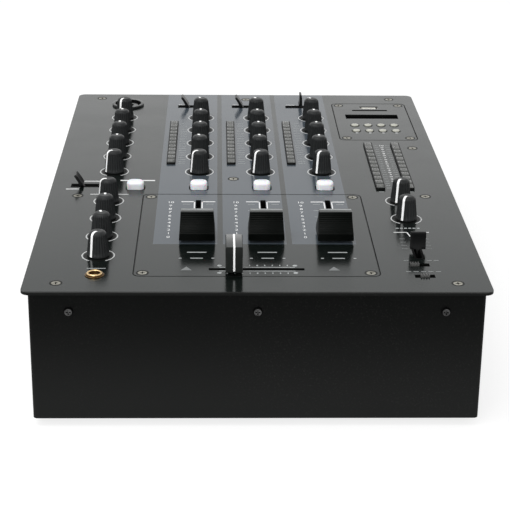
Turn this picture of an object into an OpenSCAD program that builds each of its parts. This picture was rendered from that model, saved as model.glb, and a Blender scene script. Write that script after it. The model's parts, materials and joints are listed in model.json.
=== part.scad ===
// Three-channel DJ mixer.
// A folded steel case stands on four rubber feet under a flat control plate. The fader panel and the
// media player panel are set flush into the plate and rest on ledges below it. Knobs, faders, levers,
// slide switches, cue buttons and player keys work on parts that are soldered to the circuit boards.
// Millimetres, +Z up, +X to the right, +Y to the back. The origin is on the ground under the middle
// of the mixer's footprint. Places on the plate are given as x and as a distance from its front edge.

/* [Control plate] */
// Width of the control plate
plate_w = 254; // [230:1:280]
// Depth of the control plate from its front edge to its back edge
plate_d = 385; // [350:1:420]
// Thickness of the control plate and of the two inset panels
plate_t = 1.5; // [1.25:0.25:2.5]
// Corner radius of the control plate
plate_corner_r = 5; // [2:0.5:7]
// Width of the joint line round each inset panel
panel_gap = 0.4; // [0.2:0.1:0.8]
// Thickness of the ledges that carry the inset panels
ledge_t = 1.5; // [1:0.25:2]
// How far a ledge reaches under its panel
ledge_in = 5; // [3:0.5:5.5]

/* [Case] */
// Height of the case from its floor to the underside of the plate
case_h = 75.5; // [62:0.5:95]
// How far the plate stands out past the case walls
overhang = 3.6; // [2.5:0.1:4.5]
// Thickness of the case's sheet steel
sheet_t = 1.5; // [1:0.25:2]
// Inner radius of the case's bends
bend_r = 1; // [0.5:0.25:2]
// Width of the tabs and lugs that take the screws
tab_w = 12; // [9:0.5:12]
// Depth of the front screws below the plate
front_screw_drop = 10.7; // [8:0.5:14]
// Distance from the middle to the outer front screws
front_screw_x = 101.7; // [80:1:106]

/* [Feet] */
// Height of the rubber feet
foot_h = 5; // [3:0.5:10]
// Diameter of the rubber feet
foot_d = 18; // [14:1:24]
// Distance of the feet's centres from the case walls
foot_inset = 20; // [16:1:34]

/* [Screws] */
// Head diameter of the plate screws
screw_head_d = 5.2; // [4.6:0.2:6]
// Shank diameter of the screws
screw_d = 2.8; // [2.4:0.2:3.2]
// Length of the screws
screw_l = 7; // [6:0.5:9]
// Distance of the plate screws from the plate's side edges
screw_edge = 18; // [16:0.5:20]
// Distance of the panel screws from the panel's edges
panel_screw_edge = 5; // [4.5:0.25:5.5]

/* [Columns and rows] */
// Microphone and headphone column from the plate's left edge
mic_edge = 38; // [36:0.5:40]
// Master column from the plate's right edge
master_edge = 34.7; // [34.2:0.1:36]
// Channel 1 from the microphone column
channel_1_gap = 55.5; // [52:0.5:57]
// Channel 3 from the master column
channel_3_gap = 45.6; // [44:0.1:47]
// Front knob of the channels and of the microphone column
level_row = 201; // [199:0.5:203]
// First of the four knobs behind it
tone_row = 233; // [231:0.5:234]
// Last of those four knobs from the back edge of the plate
tone_back = 61.4; // [60:0.1:68]
// Front knob of the headphone rows
monitor_row = 53.5; // [52:0.5:56]
// Front knob of the master column
master_row = 113.7; // [112:0.1:118]
// Distance between the two master knobs
master_pitch = 31.5; // [28:0.5:32]
// Row of the cue buttons
cue_row = 169.5; // [167:0.5:172]
// Row of the input levers from the back edge of the plate
lever_back = 32.3; // [30:0.1:35]

/* [Knobs] */
// Diameter at the knob's foot
knob_d = 13; // [11:0.5:15]
// Diameter at the knob's top
knob_top_d = 10.4; // [8.6:0.2:11]
// Height of the knob
knob_h = 14.6; // [11:0.2:18]
// Gap between knob and plate
knob_gap = 0.4; // [0.3:0.1:1.5]
// Radius of the knob's top edge
knob_crown_r = 2.6; // [1:0.2:3]
// Number of places for flutes, of which the pointer takes one
flute_count = 24; // [12:1:24]
// Radius of a flute
flute_r = 0.7; // [0.5:0.1:0.9]
// Depth of a flute
flute_depth = 0.35; // [0.2:0.05:0.45]
// Width of the pointer line
pointer_w = 1.2; // [0.8:0.1:1.6]
// Diameter of the shaft of a control
shaft_d = 6; // [5:0.5:6.5]

/* [Faders] */
// Travel of the channel faders
fader_travel = 60; // [45:1:61]
// Zero of the channel faders from the front edge
fader_zero = 82.3; // [80:0.5:84]
// Travel of the crossfader
cross_travel = 45; // [35:1:50]
// Crossfader slot from the front edge
cross_row = 33.4; // [33:0.1:35]
// Place of the crossfader at rest, from the middle of its travel
cross_rest = -12.6; // [-17:0.1:17]
// Width of the fader slots
slot_w = 3.2; // [2.8:0.1:3.6]
// Width of a channel fader's cap
fader_cap_w = 21; // [16:0.5:24]
// Length of a channel fader's cap along its travel
fader_cap_l = 20; // [16:0.5:22]
// Height of the fader caps
cap_h = 15.2; // [11:0.2:18]
// Gap between fader cap and panel
cap_gap = 1.8; // [1:0.1:2.5]
// Width of the crossfader's cap
cross_cap_w = 9.4; // [7:0.2:12]
// Depth of the crossfader's cap
cross_cap_l = 20; // [14:0.5:20]

/* [Levers and slide switches] */
// Width of a lever's paddle
paddle_w = 9; // [6:0.5:10]
// Thickness of a lever's paddle at its foot
paddle_t = 2.6; // [2:0.1:3]
// Thickness of a lever's paddle at its tip
paddle_tip_t = 1.2; // [0.8:0.1:1.8]
// Height of a lever's paddle
paddle_h = 9.2; // [7:0.2:12]
// Depth of a lever's pivot below the top of the plate
pivot_depth = 6; // [5:0.1:8]
// Tilt of a lever to each side
lever_tilt = 30; // [15:1:30]
// Length of a lever's slot
lever_slot_l = 21.6; // [18:0.2:22]
// Length of a slide switch's window
slide_l = 11.2; // [10:0.2:13]
// Width of a slide switch's window
slide_w = 4.6; // [4:0.1:5.5]

/* [Buttons and keys] */
// Width of a cue button
cue_w = 10.8; // [8:0.2:12]
// Depth of a cue button
cue_d = 9; // [7:0.2:10]
// Height of a cue button above the plate
cue_h = 5; // [3:0.2:6]
// Travel of a cue button
cue_travel = 1.5; // [0.8:0.1:2]
// Diameter of a player key
key_d = 5.2; // [4.4:0.2:6]
// Height of a player key above its panel
key_h = 1; // [0.8:0.1:3]
// Travel of a player key
key_travel = 0.6; // [0.4:0.1:1]

/* [Panels and windows] */
// Distance of the fader panel from the microphone and headphone column
fader_panel_gap = 21; // [20:0.5:22]
// Depth of the fader panel
fader_panel_d = 134; // [132:1:135]
// Front edge of the fader panel from the front edge of the plate
fader_panel_row = 23.1; // [22:0.1:24]
// Width of the player panel
player_panel_w = 54.6; // [50:0.2:55]
// Depth of the player panel
player_panel_d = 91; // [88:0.5:92]
// Back edge of the player panel from the back edge of the plate
player_panel_back = 23; // [21:0.5:24]
// Width of a level meter
meter_w = 6; // [4:0.2:7]
// How far the level meters stand out of the plate
meter_rise = 1.3; // [0.6:0.1:1.8]
// Back end of the channel meters from the back edge of the plate
meter_back = 73.5; // [72:0.5:100]
// How far a channel's meter stands from the middle between two channels
meter_shift = 0.95; // [0:0.05:2]
// Number of segments of a level meter
meter_segments = 12; // [8:1:16]
// Width of the player's display
display_w = 38.4; // [30:0.2:40]
// Depth of the player's display
display_d = 10.4; // [8:0.2:11]
// How deep the display lies in its window
display_sink = 3; // [2:0.1:3.4]

/* [Sockets] */
// Bore of the jack sockets
jack_bore_d = 6.4; // [6.35:0.05:6.6]
// Diameter of the microphone socket's flange
mic_flange_d = 23.5; // [23:0.5:25]
// Diameter of the microphone socket's body
mic_body_d = 21; // [20.5:0.5:22]
// Diameter of a phono socket's barrel
phono_d = 8.3; // [7.5:0.1:9]
// Length of a phono socket's barrel outside the case
phono_l = 8.5; // [7:0.5:10]
// Distance between phono sockets
phono_pitch = 14; // [12:0.5:16]

/* [Hidden] */
$fn = 48;

// Small values shared by several pieces.
cut = 1;             // how far a cutting body runs past what it cuts
slip = 0.05;         // clearance of a shaft, pin or screw in its hole
clear = 0.3;         // clearance of a part that slides or is let into a sheet
board_t = 1.6;       // thickness of a circuit board
pot_h = 10;          // height of the room between boards and plate
pot_w = 10.4;        // side of a rotary control's body
bush_r = shaft_d / 2 + 0.9;
line_h = 0.15;       // how far a pointer line stands out

// Heights.
plate_z = foot_h + case_h;
top_z = plate_z + plate_t;
board_z = plate_z - pot_h;

// Outline of the case, and the front edge that every row is measured from.
case_w = plate_w - 2 * overhang;
case_d = plate_d - 2 * overhang;
front_y = -(plate_d + phono_l - overhang) / 2;
function row(d) = front_y + d;
plate_mid_y = row(plate_d / 2);
back_wall_y = row(plate_d - overhang);

// Columns. Channel 1 is on the left.
mic_x = mic_edge - plate_w / 2;
master_x = plate_w / 2 - master_edge;
channel_x = (mic_x + channel_1_gap + master_x - channel_3_gap) / 2;
channel_pitch = master_x - channel_3_gap - channel_x;
function channel(n) = channel_x + (n - 2) * channel_pitch;
meter_offset = channel_pitch / 2 - meter_shift;
fader_panel_w = 2 * (-mic_x - fader_panel_gap);

// Rows that are set from the back edge.
knob_pitch = (plate_d - tone_back - tone_row) / 3;
lever_row = plate_d - lever_back;
player_panel_row = plate_d - player_panel_back - player_panel_d;
lever_shift = 6.3;   // levers at the back stand this far to the left of their knobs

// Knobs: name, x, distance from the front edge, and where the pointer rests, in degrees from the
// back, anticlockwise from above. The full turn is 300 degrees.
half_turn = 150;
channel_rests = [[122, 20, 0, 0, 30], [133, 0, 0, 0, 25], [145, 0, 0, 0, 35]];
function knob_row(i) = i == 0 ? level_row : tone_row + (i - 1) * knob_pitch;
mic_rests = [125, 0, 0, 0, 150];
monitor_rests = [145, 15, 0, 110];
knob_names = ["level", "low", "mid", "high", "gain"];
knobs = concat(
    [for (n = [1:3]) for (i = [0:4])
        [str("channel_", n, "_", knob_names[i], "_knob"), channel(n), knob_row(i),
         channel_rests[n - 1][i]]],
    [for (i = [0:4])
        [str("mic_", knob_names[i], "_knob"), mic_x, knob_row(i), mic_rests[i]]],
    [for (i = [0:3])
        [str("monitor_knob_", i + 1), mic_x, monitor_row + i * knob_pitch, monitor_rests[i]]],
    [for (i = [0:1])
        [str("master_knob_", i + 1), master_x, master_row + i * master_pitch, half_turn]]
);

// Levers: name, x, distance from the front edge, direction of travel about Z, and tilt at rest.
levers = [
    ["channel_1_lever", channel(1) - lever_shift, lever_row, 0, -lever_tilt],
    ["channel_2_lever", channel(2) - lever_shift, lever_row, 0, -lever_tilt],
    ["channel_3_lever", channel(3) - lever_shift, lever_row, 0, 0],
    ["talk_lever", mic_x - 14.6, 173.3, 0, -lever_tilt],
    ["curve_lever", master_x + 0.2, 60, 90, 0]
];

// Cue buttons: x. The first belongs to the microphone.
cue_xs = [mic_x + 15.3, channel(1), channel(2), channel(3)];

// Slide switches: x, distance from the front edge, and the slider's place from the window's middle.
slider_l = 5;
slide_reach = (slide_l - slider_l) / 2 - clear;
slides = [[master_x - 1, 40, -slide_reach], [master_x, 23.6, 0]];

// Player keys: two rows of four, counted from the front left.
key_pitch = 9.45;
key_row_pitch = 13.2;
player_x = master_x - 0.7;
function key_place(n) = [player_x + ((n - 1) % 4 - 1.5) * key_pitch,
                         player_panel_row + 22 + floor((n - 1) / 4) * key_row_pitch];
display_row = player_panel_row + 57.2;
card_row = player_panel_row + 73.2;
usb_row = card_row + 7;

// Level meters: x and the distance of their front end from the front edge.
meter_row = 216.5;
meter_l = plate_d - meter_back - meter_row;
master_meter_row = 166.5;
meters = [
    [channel(1) - meter_offset, meter_row],
    [channel(2) - meter_offset, meter_row],
    [channel(3) - meter_offset, meter_row],
    [master_x - 10, master_meter_row],
    [master_x + 8.7, master_meter_row]
];

// Screws: places on the plate, on the fader panel and on the player panel.
side_screw_x = plate_w / 2 - screw_edge;
side_tabs = [
    [-side_screw_x, 13.5], [-side_screw_x, 154], [-side_screw_x, plate_d - 11],
    [side_screw_x, 13.5], [side_screw_x, 154], [side_screw_x + 3.7, player_panel_row - 18],
    [side_screw_x, plate_d - 11]
];
back_tab = [0, plate_d - 13];
pillar_screw = [channel_x - 18, 187];
plate_screws = concat(side_tabs, [back_tab, pillar_screw]);
function corner_screws(x, from, w, d) = [
    for (i = [-1, 1]) for (j = [0, 1])
        [x + i * (w / 2 - panel_screw_edge),
         from + (j == 0 ? panel_screw_edge : d - panel_screw_edge)]
];
fader_screws = corner_screws(0, fader_panel_row, fader_panel_w, fader_panel_d);
player_screws = corner_screws(player_x, player_panel_row, player_panel_w, player_panel_d);
front_screws = [for (i = [-1:1]) i * front_screw_x];
front_screw_z = plate_z - front_screw_drop;
foot_places = [for (i = [-1, 1]) for (j = [-1, 1])
    [i * (case_w / 2 - foot_inset), plate_mid_y + j * (case_d / 2 - foot_inset)]];
head_r = screw_head_d / 2;
head_h = head_r - screw_d / 2;
screw_hole_r = screw_d / 2 + slip;

// Faders.
tongue_l = 6;        // a fader's tongue along its travel
tongue_t = 2.2;
fader_mid = fader_zero + fader_travel / 2;
fader_body_w = 8;
function slot_l(travel) = travel + tongue_l + 2;
tongue_depth = 6;    // how far a tongue reaches below the plate

// Microphone, headphone and rear sockets.
mic_socket = [mic_x + 0.6, plate_d - 28.4];
phones_row = 25;
phones_bush_r = 4.7;
phones_bush_h = 0.9;
phones_body = [13, 14, 24];
mic_body_h = 24;
phono_z = foot_h + case_h * 0.55;
phono_xs = [-88, -50, -12, 26];
phono_hole_r = phono_d / 2 + clear;
inlet = [plate_w / 2 - 43, foot_h + case_h * 0.6];
inlet_face = [30, 22];
inlet_hole = [24.6, 17];
inlet_depth = 16;
rocker = [inlet[0], foot_h + 20];
rocker_face = [22, 16];
rocker_hole = [18, 11.4];
rocker_tilt = 8;

// Every sub-part, in the order it is drawn.

// ---------- outlines and small shapes ----------

// A rectangle with round corners, centred.
module round_rect(w, d, r) {
    square([w - 2 * r, d], center = true);
    square([w, d - 2 * r], center = true);
    for (i = [-1, 1], j = [-1, 1])
        translate([i * (w / 2 - r), j * (d / 2 - r)]) circle(r);
}

// A sheet with round corners: centre x, front edge row, size, bottom z.
module sheet(x, from, w, d, r, z, t) {
    translate([x, row(from + d / 2), z]) linear_extrude(t) round_rect(w, d, r);
}

// A box that stands on z, centred at a place on the plate.
module block(x, from, size, z) {
    translate([x - size[0] / 2, row(from) - size[1] / 2, z]) cube(size);
}

// A round post or hole at a place on the plate.
module post(x, from, r, z, h) {
    translate([x, row(from), z]) cylinder(r = r, h = h);
}

// A prism along X whose outline is drawn in Y and Z.
module along_x(l) {
    rotate([90, 0, 90]) translate([0, 0, -l / 2]) linear_extrude(l) children();
}

// A prism along Y whose outline is drawn in X and Z.
module along_y(l) {
    rotate([90, 0, 0]) translate([0, 0, -l / 2]) linear_extrude(l) children();
}

// A face with round top corners, standing on the origin.
module arch(w, h, r) {
    translate([-w / 2, 0]) square([w, h - r]);
    translate([-w / 2 + r, 0]) square([w - 2 * r, h]);
    for (i = [-1, 1]) translate([i * (w / 2 - r), h - r]) circle(r);
}

// ---------- screws ----------

// A countersunk screw with a cross recess, its head flush at z = 0.
module flat_screw(l) {
    difference() {
        union() {
            translate([0, 0, -head_h]) cylinder(r1 = screw_d / 2, r2 = head_r, h = head_h);
            translate([0, 0, -l]) cylinder(d = screw_d, h = l);
        }
        cross_recess();
    }
}

// A pan head screw with a cross recess, its head seated on z = 0.
module pan_screw(l) {
    pan_h = 1.8;
    difference() {
        union() {
            cylinder(r1 = head_r, r2 = head_r - 0.6, h = pan_h);
            translate([0, 0, -l]) cylinder(d = screw_d, h = l);
        }
        translate([0, 0, pan_h]) cross_recess();
    }
}

module cross_recess() {
    arm = [screw_d, 0.7, 1];
    for (a = [0, 90]) rotate(a) translate([-arm[0] / 2, -arm[1] / 2, -arm[2]]) cube([arm[0], arm[1], arm[2] + cut]);
}

// The hole for a countersunk screw in a sheet whose top is at z = 0.
module flat_screw_hole() {
    translate([0, 0, -head_h]) cylinder(r1 = screw_hole_r, r2 = head_r + slip, h = head_h);
    cylinder(r = head_r + slip, h = cut);
    translate([0, 0, -2 * pot_h]) cylinder(r = screw_hole_r, h = 2 * pot_h);
}

module screws() color("darkkhaki") {
    for (p = concat(plate_screws, fader_screws, player_screws))
        translate([p[0], row(p[1]), top_z]) flat_screw(screw_l);
    for (x = front_screws)
        translate([x, row(overhang), front_screw_z]) rotate([90, 0, 0]) pan_screw(screw_l);
    for (p = foot_places)
        translate([p[0], p[1], foot_h - foot_web]) rotate([180, 0, 0]) pan_screw(screw_l);
}

// ---------- case ----------

foot_web = 1.5;      // rubber left under the case's floor, over the foot's screw

module chassis() color("#191a1b") difference() {
    union() {
        difference() {
            sheet(0, overhang, case_w, case_d, bend_r + sheet_t, foot_h, case_h);
            sheet(0, overhang + sheet_t, case_w - 2 * sheet_t, case_d - 2 * sheet_t, bend_r,
                  foot_h + sheet_t, case_h);
        }
        for (p = side_tabs) side_tab(p);
        screw_tab(back_tab, [tab_w, plate_d - overhang - back_tab[1] - sheet_t / 2],
                  [0, (plate_d - overhang - back_tab[1] - sheet_t / 2) / 2]);
    }
    for (p = plate_screws) post(p[0], p[1], screw_hole_r, plate_z - tab_w, 2 * tab_w);
    for (x = front_screws)
        translate([x, row(overhang + sheet_t / 2), front_screw_z]) rotate([90, 0, 0])
            cylinder(r = screw_hole_r, h = sheet_t + 2 * cut, center = true);
    for (p = foot_places)
        translate([p[0], p[1], foot_h - cut]) cylinder(r = screw_hole_r, h = sheet_t + 2 * cut);
    for (x = phono_xs) phono_places(x) wall_hole(phono_hole_r);
    wall_window(inlet, inlet_hole + [2, 2] + 2 * [clear, clear]);
    wall_window(rocker, rocker_hole + [2, 2] + 2 * [clear, clear]);
}

// A tab that reaches in from the nearer side wall to a screw.
module side_tab(p) {
    reach = case_w / 2 - sheet_t / 2 - abs(p[0]);
    screw_tab(p, [reach, tab_w], [sign(p[0]) * reach / 2, 0]);
}

module screw_tab(p, size, shift) {
    translate([0, 0, plate_z - sheet_t]) {
        translate([p[0], row(p[1]), 0]) cylinder(d = tab_w, h = sheet_t);
        translate([p[0] + shift[0] - size[0] / 2, row(p[1]) + shift[1] - size[1] / 2, 0])
            cube([size[0], size[1], sheet_t]);
    }
}

module wall_hole(r) {
    rotate([-90, 0, 0]) translate([0, 0, -sheet_t - cut]) cylinder(r = r, h = sheet_t + 2 * cut);
}

module wall_window(p, size) {
    translate([p[0] - size[0] / 2, back_wall_y - sheet_t - cut, p[1] - size[1] / 2])
        cube([size[0], sheet_t + 2 * cut, size[1]]);
}

module feet() color("#101010") for (p = foot_places) translate([p[0], p[1], 0])
    rotate_extrude() difference() {
        polygon([[screw_hole_r, 0], [foot_d / 2 - 1, 0], [foot_d / 2, foot_h], [screw_hole_r, foot_h]]);
        square([head_r + 1, foot_h - foot_web]);
    }

// ---------- control plate and inset panels ----------

panel_corner_r = 4;
fader_frame = [0, fader_panel_row, fader_panel_w, fader_panel_d];
player_frame = [player_x, player_panel_row, player_panel_w, player_panel_d];

module top_plate() color("#4a4d4f") difference() {
    union() {
        sheet(0, 0, plate_w, plate_d, plate_corner_r, plate_z, plate_t);
        ledge(fader_frame, fader_screws);
        ledge(player_frame, player_screws);
        for (x = front_screws) block(x, lug_row, [tab_w, sheet_t, lug_h], plate_z - lug_h);
    }
    for (f = [fader_frame, player_frame])
        sheet(f[0], f[1] - panel_gap, f[2] + 2 * panel_gap, f[3] + 2 * panel_gap,
              panel_corner_r + panel_gap, plate_z, plate_t + cut);
    for (p = plate_screws) translate([p[0], row(p[1]), top_z]) flat_screw_hole();
    for (p = concat(fader_screws, player_screws))
        post(p[0], p[1], screw_hole_r, plate_z - ledge_t - cut, ledge_t + 2 * cut);
    for (x = front_screws)
        translate([x, row(lug_row), front_screw_z]) rotate([90, 0, 0])
            cylinder(r = screw_hole_r, h = sheet_t + 2 * cut, center = true);
    for (k = knobs) post(k[1], k[2], bush_r + slip, plate_z - cut, plate_t + 2 * cut);
    for (v = levers) lever_slot(v);
    for (x = cue_xs) block(x, cue_row, [cue_w + 2 * clear, cue_d + 2 * clear, plate_t + 2 * cut], plate_z - cut);
    for (s = slides) block(s[0], s[1], [slide_l, slide_w, plate_t + 2 * cut], plate_z - cut);
    for (m = meters)
        sheet(m[0], m[1], meter_w, meter_l, meter_end_r + window_slip, plate_z - cut, plate_t + 2 * cut);
    post(mic_socket[0], mic_socket[1], mic_body_d / 2 + clear, plate_z - cut, plate_t + 2 * cut);
    post(mic_x, phones_row, phones_bush_r + slip, plate_z - cut, plate_t + 2 * cut);
}

// The lugs that hang from the plate behind the case's front wall.
lug_h = front_screw_drop + tab_w / 2;
lug_row = overhang + sheet_t * 1.5 + clear;

// A ledge round an inset panel's opening, with a pad for each corner screw.
module ledge(f, places) {
    outer = 2;
    translate([0, 0, plate_z - ledge_t]) linear_extrude(ledge_t) {
        difference() {
            translate([f[0], row(f[1] + f[3] / 2)])
                round_rect(f[2] + 2 * outer, f[3] + 2 * outer, panel_corner_r + outer);
            translate([f[0], row(f[1] + f[3] / 2)])
                square([f[2] - 2 * ledge_in, f[3] - 2 * ledge_in], center = true);
        }
        for (p = places) translate([p[0], row(p[1])]) circle(screw_d);
    }
}

module lever_slot(v) {
    translate([v[1], row(v[2]), plate_z - cut]) rotate(v[3])
        translate([-lever_slot_l / 2, -lever_slot_w / 2, 0])
            cube([lever_slot_l, lever_slot_w, plate_t + 2 * cut]);
}

module fader_panel() color("#55585b") difference() {
    sheet(0, fader_panel_row, fader_panel_w, fader_panel_d, panel_corner_r, plate_z, plate_t);
    for (p = fader_screws) translate([p[0], row(p[1]), top_z]) flat_screw_hole();
    for (n = [1:3])
        block(channel(n), fader_mid, [slot_w, slot_l(fader_travel), plate_t + 2 * cut], plate_z - cut);
    block(0, cross_row, [slot_l(cross_travel), slot_w, plate_t + 2 * cut], plate_z - cut);
}

usb_hole = [13.6, 6.2];
card_hole = [26, 2.8];

module player_panel() color("#4a4d4f") difference() {
    sheet(player_x, player_panel_row, player_panel_w, player_panel_d, panel_corner_r, plate_z, plate_t);
    for (p = player_screws) translate([p[0], row(p[1]), top_z]) flat_screw_hole();
    for (n = [1:8]) post(key_place(n)[0], key_place(n)[1], key_d / 2 + clear, plate_z - cut, plate_t + 2 * cut);
    block(player_x, display_row, [display_w, display_d, plate_t + 2 * cut], plate_z - cut);
    block(player_x, card_row, [card_hole[0], card_hole[1], plate_t + 2 * cut], plate_z - cut);
    block(player_x, usb_row, [usb_hole[0], usb_hole[1], plate_t + 2 * cut], plate_z - cut);
}

// ---------- meters and display ----------

window_slip = 0.1;
pane_t = 1;
meter_seat = 2.5;    // how far a meter reaches below the plate
meter_end_r = 1.2;

module meter_windows() color("#8a8f7c") {
    for (m = meters) meter_bar(m);
    block(player_x, display_row, [display_w - 2 * window_slip, display_d - 2 * window_slip, pane_t],
          top_z - display_sink - pane_t);
}

// A bar of light segments with round corners, parted by shallow grooves.
module meter_bar(m) {
    w = meter_w - 2 * window_slip;
    l = meter_l - 2 * window_slip;
    pitch = l / meter_segments;
    groove = [meter_w, 0.5, 0.25];
    high = top_z + meter_rise;
    difference() {
        sheet(m[0], m[1] + window_slip, w, l, meter_end_r, plate_z - meter_seat, high - plate_z + meter_seat);
        for (i = [1:meter_segments - 1])
            block(m[0], m[1] + window_slip + i * pitch, groove + [0, 0, cut], high - groove[2]);
    }
}

// ---------- knobs ----------

// Half outline of a knob, grown by g: a tapered side, a round top edge and a flat top.
module knob_outline(g) {
    r_foot = knob_d / 2 + g;
    r_top = knob_top_d / 2 + g;
    h = knob_h + g;
    polygon([[0, 0], [r_foot, 0], [r_top, h - knob_crown_r], [0, h - knob_crown_r]]);
    square([r_top - knob_crown_r, h]);
    translate([r_top - knob_crown_r, h - knob_crown_r]) intersection() {
        circle(knob_crown_r);
        square(knob_crown_r + cut);
    }
}

// The flutes run up the tapered side, parallel to it, and leave the pointer's place bare.
module knob_flutes() {
    lean = atan((knob_d - knob_top_d) / 2 / (knob_h - knob_crown_r));
    for (i = [1:flute_count - 1]) rotate(i * 360 / flute_count)
        translate([0, knob_d / 2 + flute_r - flute_depth, 0]) rotate([lean, 0, 0])
            translate([0, 0, -cut]) cylinder(r = flute_r, h = knob_h + 3 * cut, $fn = 16);
}

shaft_h = 10;        // how far a shaft reaches into its knob
shaft_flat = 1;      // depth of the flat on the shaft
pointer_from = 0.8;  // start of the pointer line from the knob's centre

// What is cut from a shaft, or left in a bore, for the flat: r is the radius there.
module flat_side(r, low, high) {
    translate([-r - cut, r - shaft_flat, low]) cube([2 * (r + cut), r, high - low]);
}

module knob() color("#26282a") difference() {
    union() {
        difference() {
            rotate_extrude() knob_outline(0);
            knob_flutes();
        }
        intersection() {
            rotate_extrude() knob_outline(line_h);
            translate([-pointer_w / 2, pointer_from, 0]) cube([pointer_w, knob_d, knob_h + cut]);
        }
    }
    difference() {
        bore_r = shaft_d / 2 + slip;
        translate([0, 0, -cut]) cylinder(r = bore_r, h = cut + shaft_h + clear);
        flat_side(bore_r, -2 * cut, shaft_h + 2 * cut);
    }
}

module shaft() color("silver") {
    low = -knob_gap - plate_t - pot_h / 2;
    difference() {
        translate([0, 0, low]) cylinder(d = shaft_d, h = shaft_h - low);
        flat_side(shaft_d / 2, -knob_gap / 2, shaft_h + cut);
    }
}

module knob_on_shaft(k) {
    translate([k[1], row(k[2]), top_z + knob_gap]) rotate(k[3]) {
        knob();
        shaft();
    }
}

// ---------- faders ----------

// Side view of a channel fader's cap: two hollow slopes up to a narrow ridge.
cap_foot = 4;
cap_ridge = 5;
cap_hollow_r = 16;
module fader_side() {
    low = [fader_cap_l / 2, cap_foot];
    high = [cap_ridge / 2, cap_h];
    chord = high - low;
    reach = sqrt(pow(cap_hollow_r, 2) - chord * chord / 4);
    centre = (low + high) / 2 + reach * [chord[1], -chord[0]] / norm(chord);
    difference() {
        polygon([[-low[0], 0], [low[0], 0], low, high, [-high[0], high[1]], [-low[0], low[1]]]);
        for (i = [-1, 1]) translate([i * centre[0], centre[1]]) circle(cap_hollow_r, $fn = 96);
    }
}

// Front view of the cap, a little narrower at its top.
cap_draft = 1;
module fader_front() {
    polygon([[-fader_cap_w / 2, 0], [fader_cap_w / 2, 0],
             [fader_cap_w / 2 - cap_draft, cap_h + cut], [cap_draft - fader_cap_w / 2, cap_h + cut]]);
}

// Grip grooves across the foot of each slope.
module fader_grips() {
    for (i = [-1, 1], n = [0:2])
        translate([0, i * (fader_cap_l / 2 - 1.3 - 1.15 * n), cap_foot + 0.9 + 0.85 * n])
            rotate([0, 90, 0]) cylinder(r = 0.4, h = fader_cap_w + cut, center = true, $fn = 16);
}

module fader_cap() color("#141414") difference() {
    union() {
        difference() {
            intersection() {
                along_x(fader_cap_w) fader_side();
                along_y(fader_cap_l) fader_front();
            }
            fader_grips();
        }
        translate([0, 0, cap_h - cut]) linear_extrude(cut + line_h)
            square([fader_cap_w - 2 * cap_draft - 1, 1.1], center = true);
    }
    tongue_pocket();
}

tongue_in = 7;       // how far a tongue reaches into its cap
module tongue_pocket() {
    translate([0, 0, -cut]) linear_extrude(cut + tongue_in + clear)
        square([tongue_t + 2 * slip, tongue_l + 2 * slip], center = true);
}

module tongue() color("dimgray") {
    low = cap_gap + plate_t + tongue_depth;
    translate([0, 0, -low]) linear_extrude(low + tongue_in) square([tongue_t, tongue_l], center = true);
}

module channel_fader(n) {
    translate([channel(n), row(fader_zero), top_z + cap_gap]) {
        fader_cap();
        tongue();
    }
}

// The crossfader's cap is a fin with round edges and grooves along its sides.
module cross_front(g) {
    difference() {
        arch(cross_cap_w + 2 * g, cap_h + g, 2);
        for (i = [-1, 1], n = [0:3])
            translate([i * (cross_cap_w / 2 + 0.15), 3.4 + 1.5 * n]) circle(0.5, $fn = 16);
    }
}

module crossfader() translate([cross_rest, row(cross_row), top_z + cap_gap]) {
    color("#1a1a1a") difference() {
        union() {
            intersection() {
                along_y(cross_cap_l) cross_front(0);
                along_x(cross_cap_w) arch(cross_cap_l, cap_h, 1.5);
            }
            along_x(1.1) arch(cross_cap_l + 2 * line_h, cap_h + line_h, 1.5 + line_h);
        }
        rotate(90) tongue_pocket();
    }
    rotate(90) tongue();
}

// ---------- levers ----------

pivot_r = 1.6;
pivot_l = 7;
stem_t = 2;
stem_w = 2.8;
lever_slot_w = stem_w + 2 * clear;
lever_body = [lever_slot_l + 4, 10, pot_h];
// A paddle starts at the height at which it just clears the plate when it is tilted all the way.
paddle_foot = (pivot_depth + clear + paddle_t / 2 * sin(lever_tilt)) / cos(lever_tilt);

// A lever about its pivot: a pin, a stem and a tapered paddle with round top corners.
module lever() {
    color("silver") {
        rotate([90, 0, 0]) cylinder(r = pivot_r, h = pivot_l, center = true);
        translate([-stem_t / 2, -stem_w / 2, 0]) cube([stem_t, stem_w, paddle_foot]);
    }
    color("#1a1a1a") translate([0, 0, paddle_foot]) intersection() {
        along_x(paddle_t) arch(paddle_w, paddle_h, 0.8);
        along_y(paddle_w) polygon([[-paddle_t / 2, 0], [paddle_t / 2, 0],
                                   [paddle_tip_t / 2, paddle_h], [-paddle_tip_t / 2, paddle_h]]);
    }
}

module lever_at(v) {
    translate([v[1], row(v[2]), top_z - pivot_depth]) rotate(v[3]) rotate([0, v[4], 0]) lever();
}

// The body under the plate that the lever turns in.
module lever_housing(v) {
    translate([v[1], row(v[2]), board_z]) rotate(v[3]) difference() {
        translate([-lever_body[0] / 2, -lever_body[1] / 2, 0]) cube(lever_body);
        translate([-lever_slot_l / 2, -lever_slot_w / 2, 1]) cube([lever_slot_l, lever_slot_w, pot_h]);
        translate([0, 0, top_z - pivot_depth - board_z]) rotate([90, 0, 0])
            cylinder(r = pivot_r + slip, h = pivot_l + 2 * slip, center = true);
    }
}

// ---------- slide switches ----------

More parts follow.
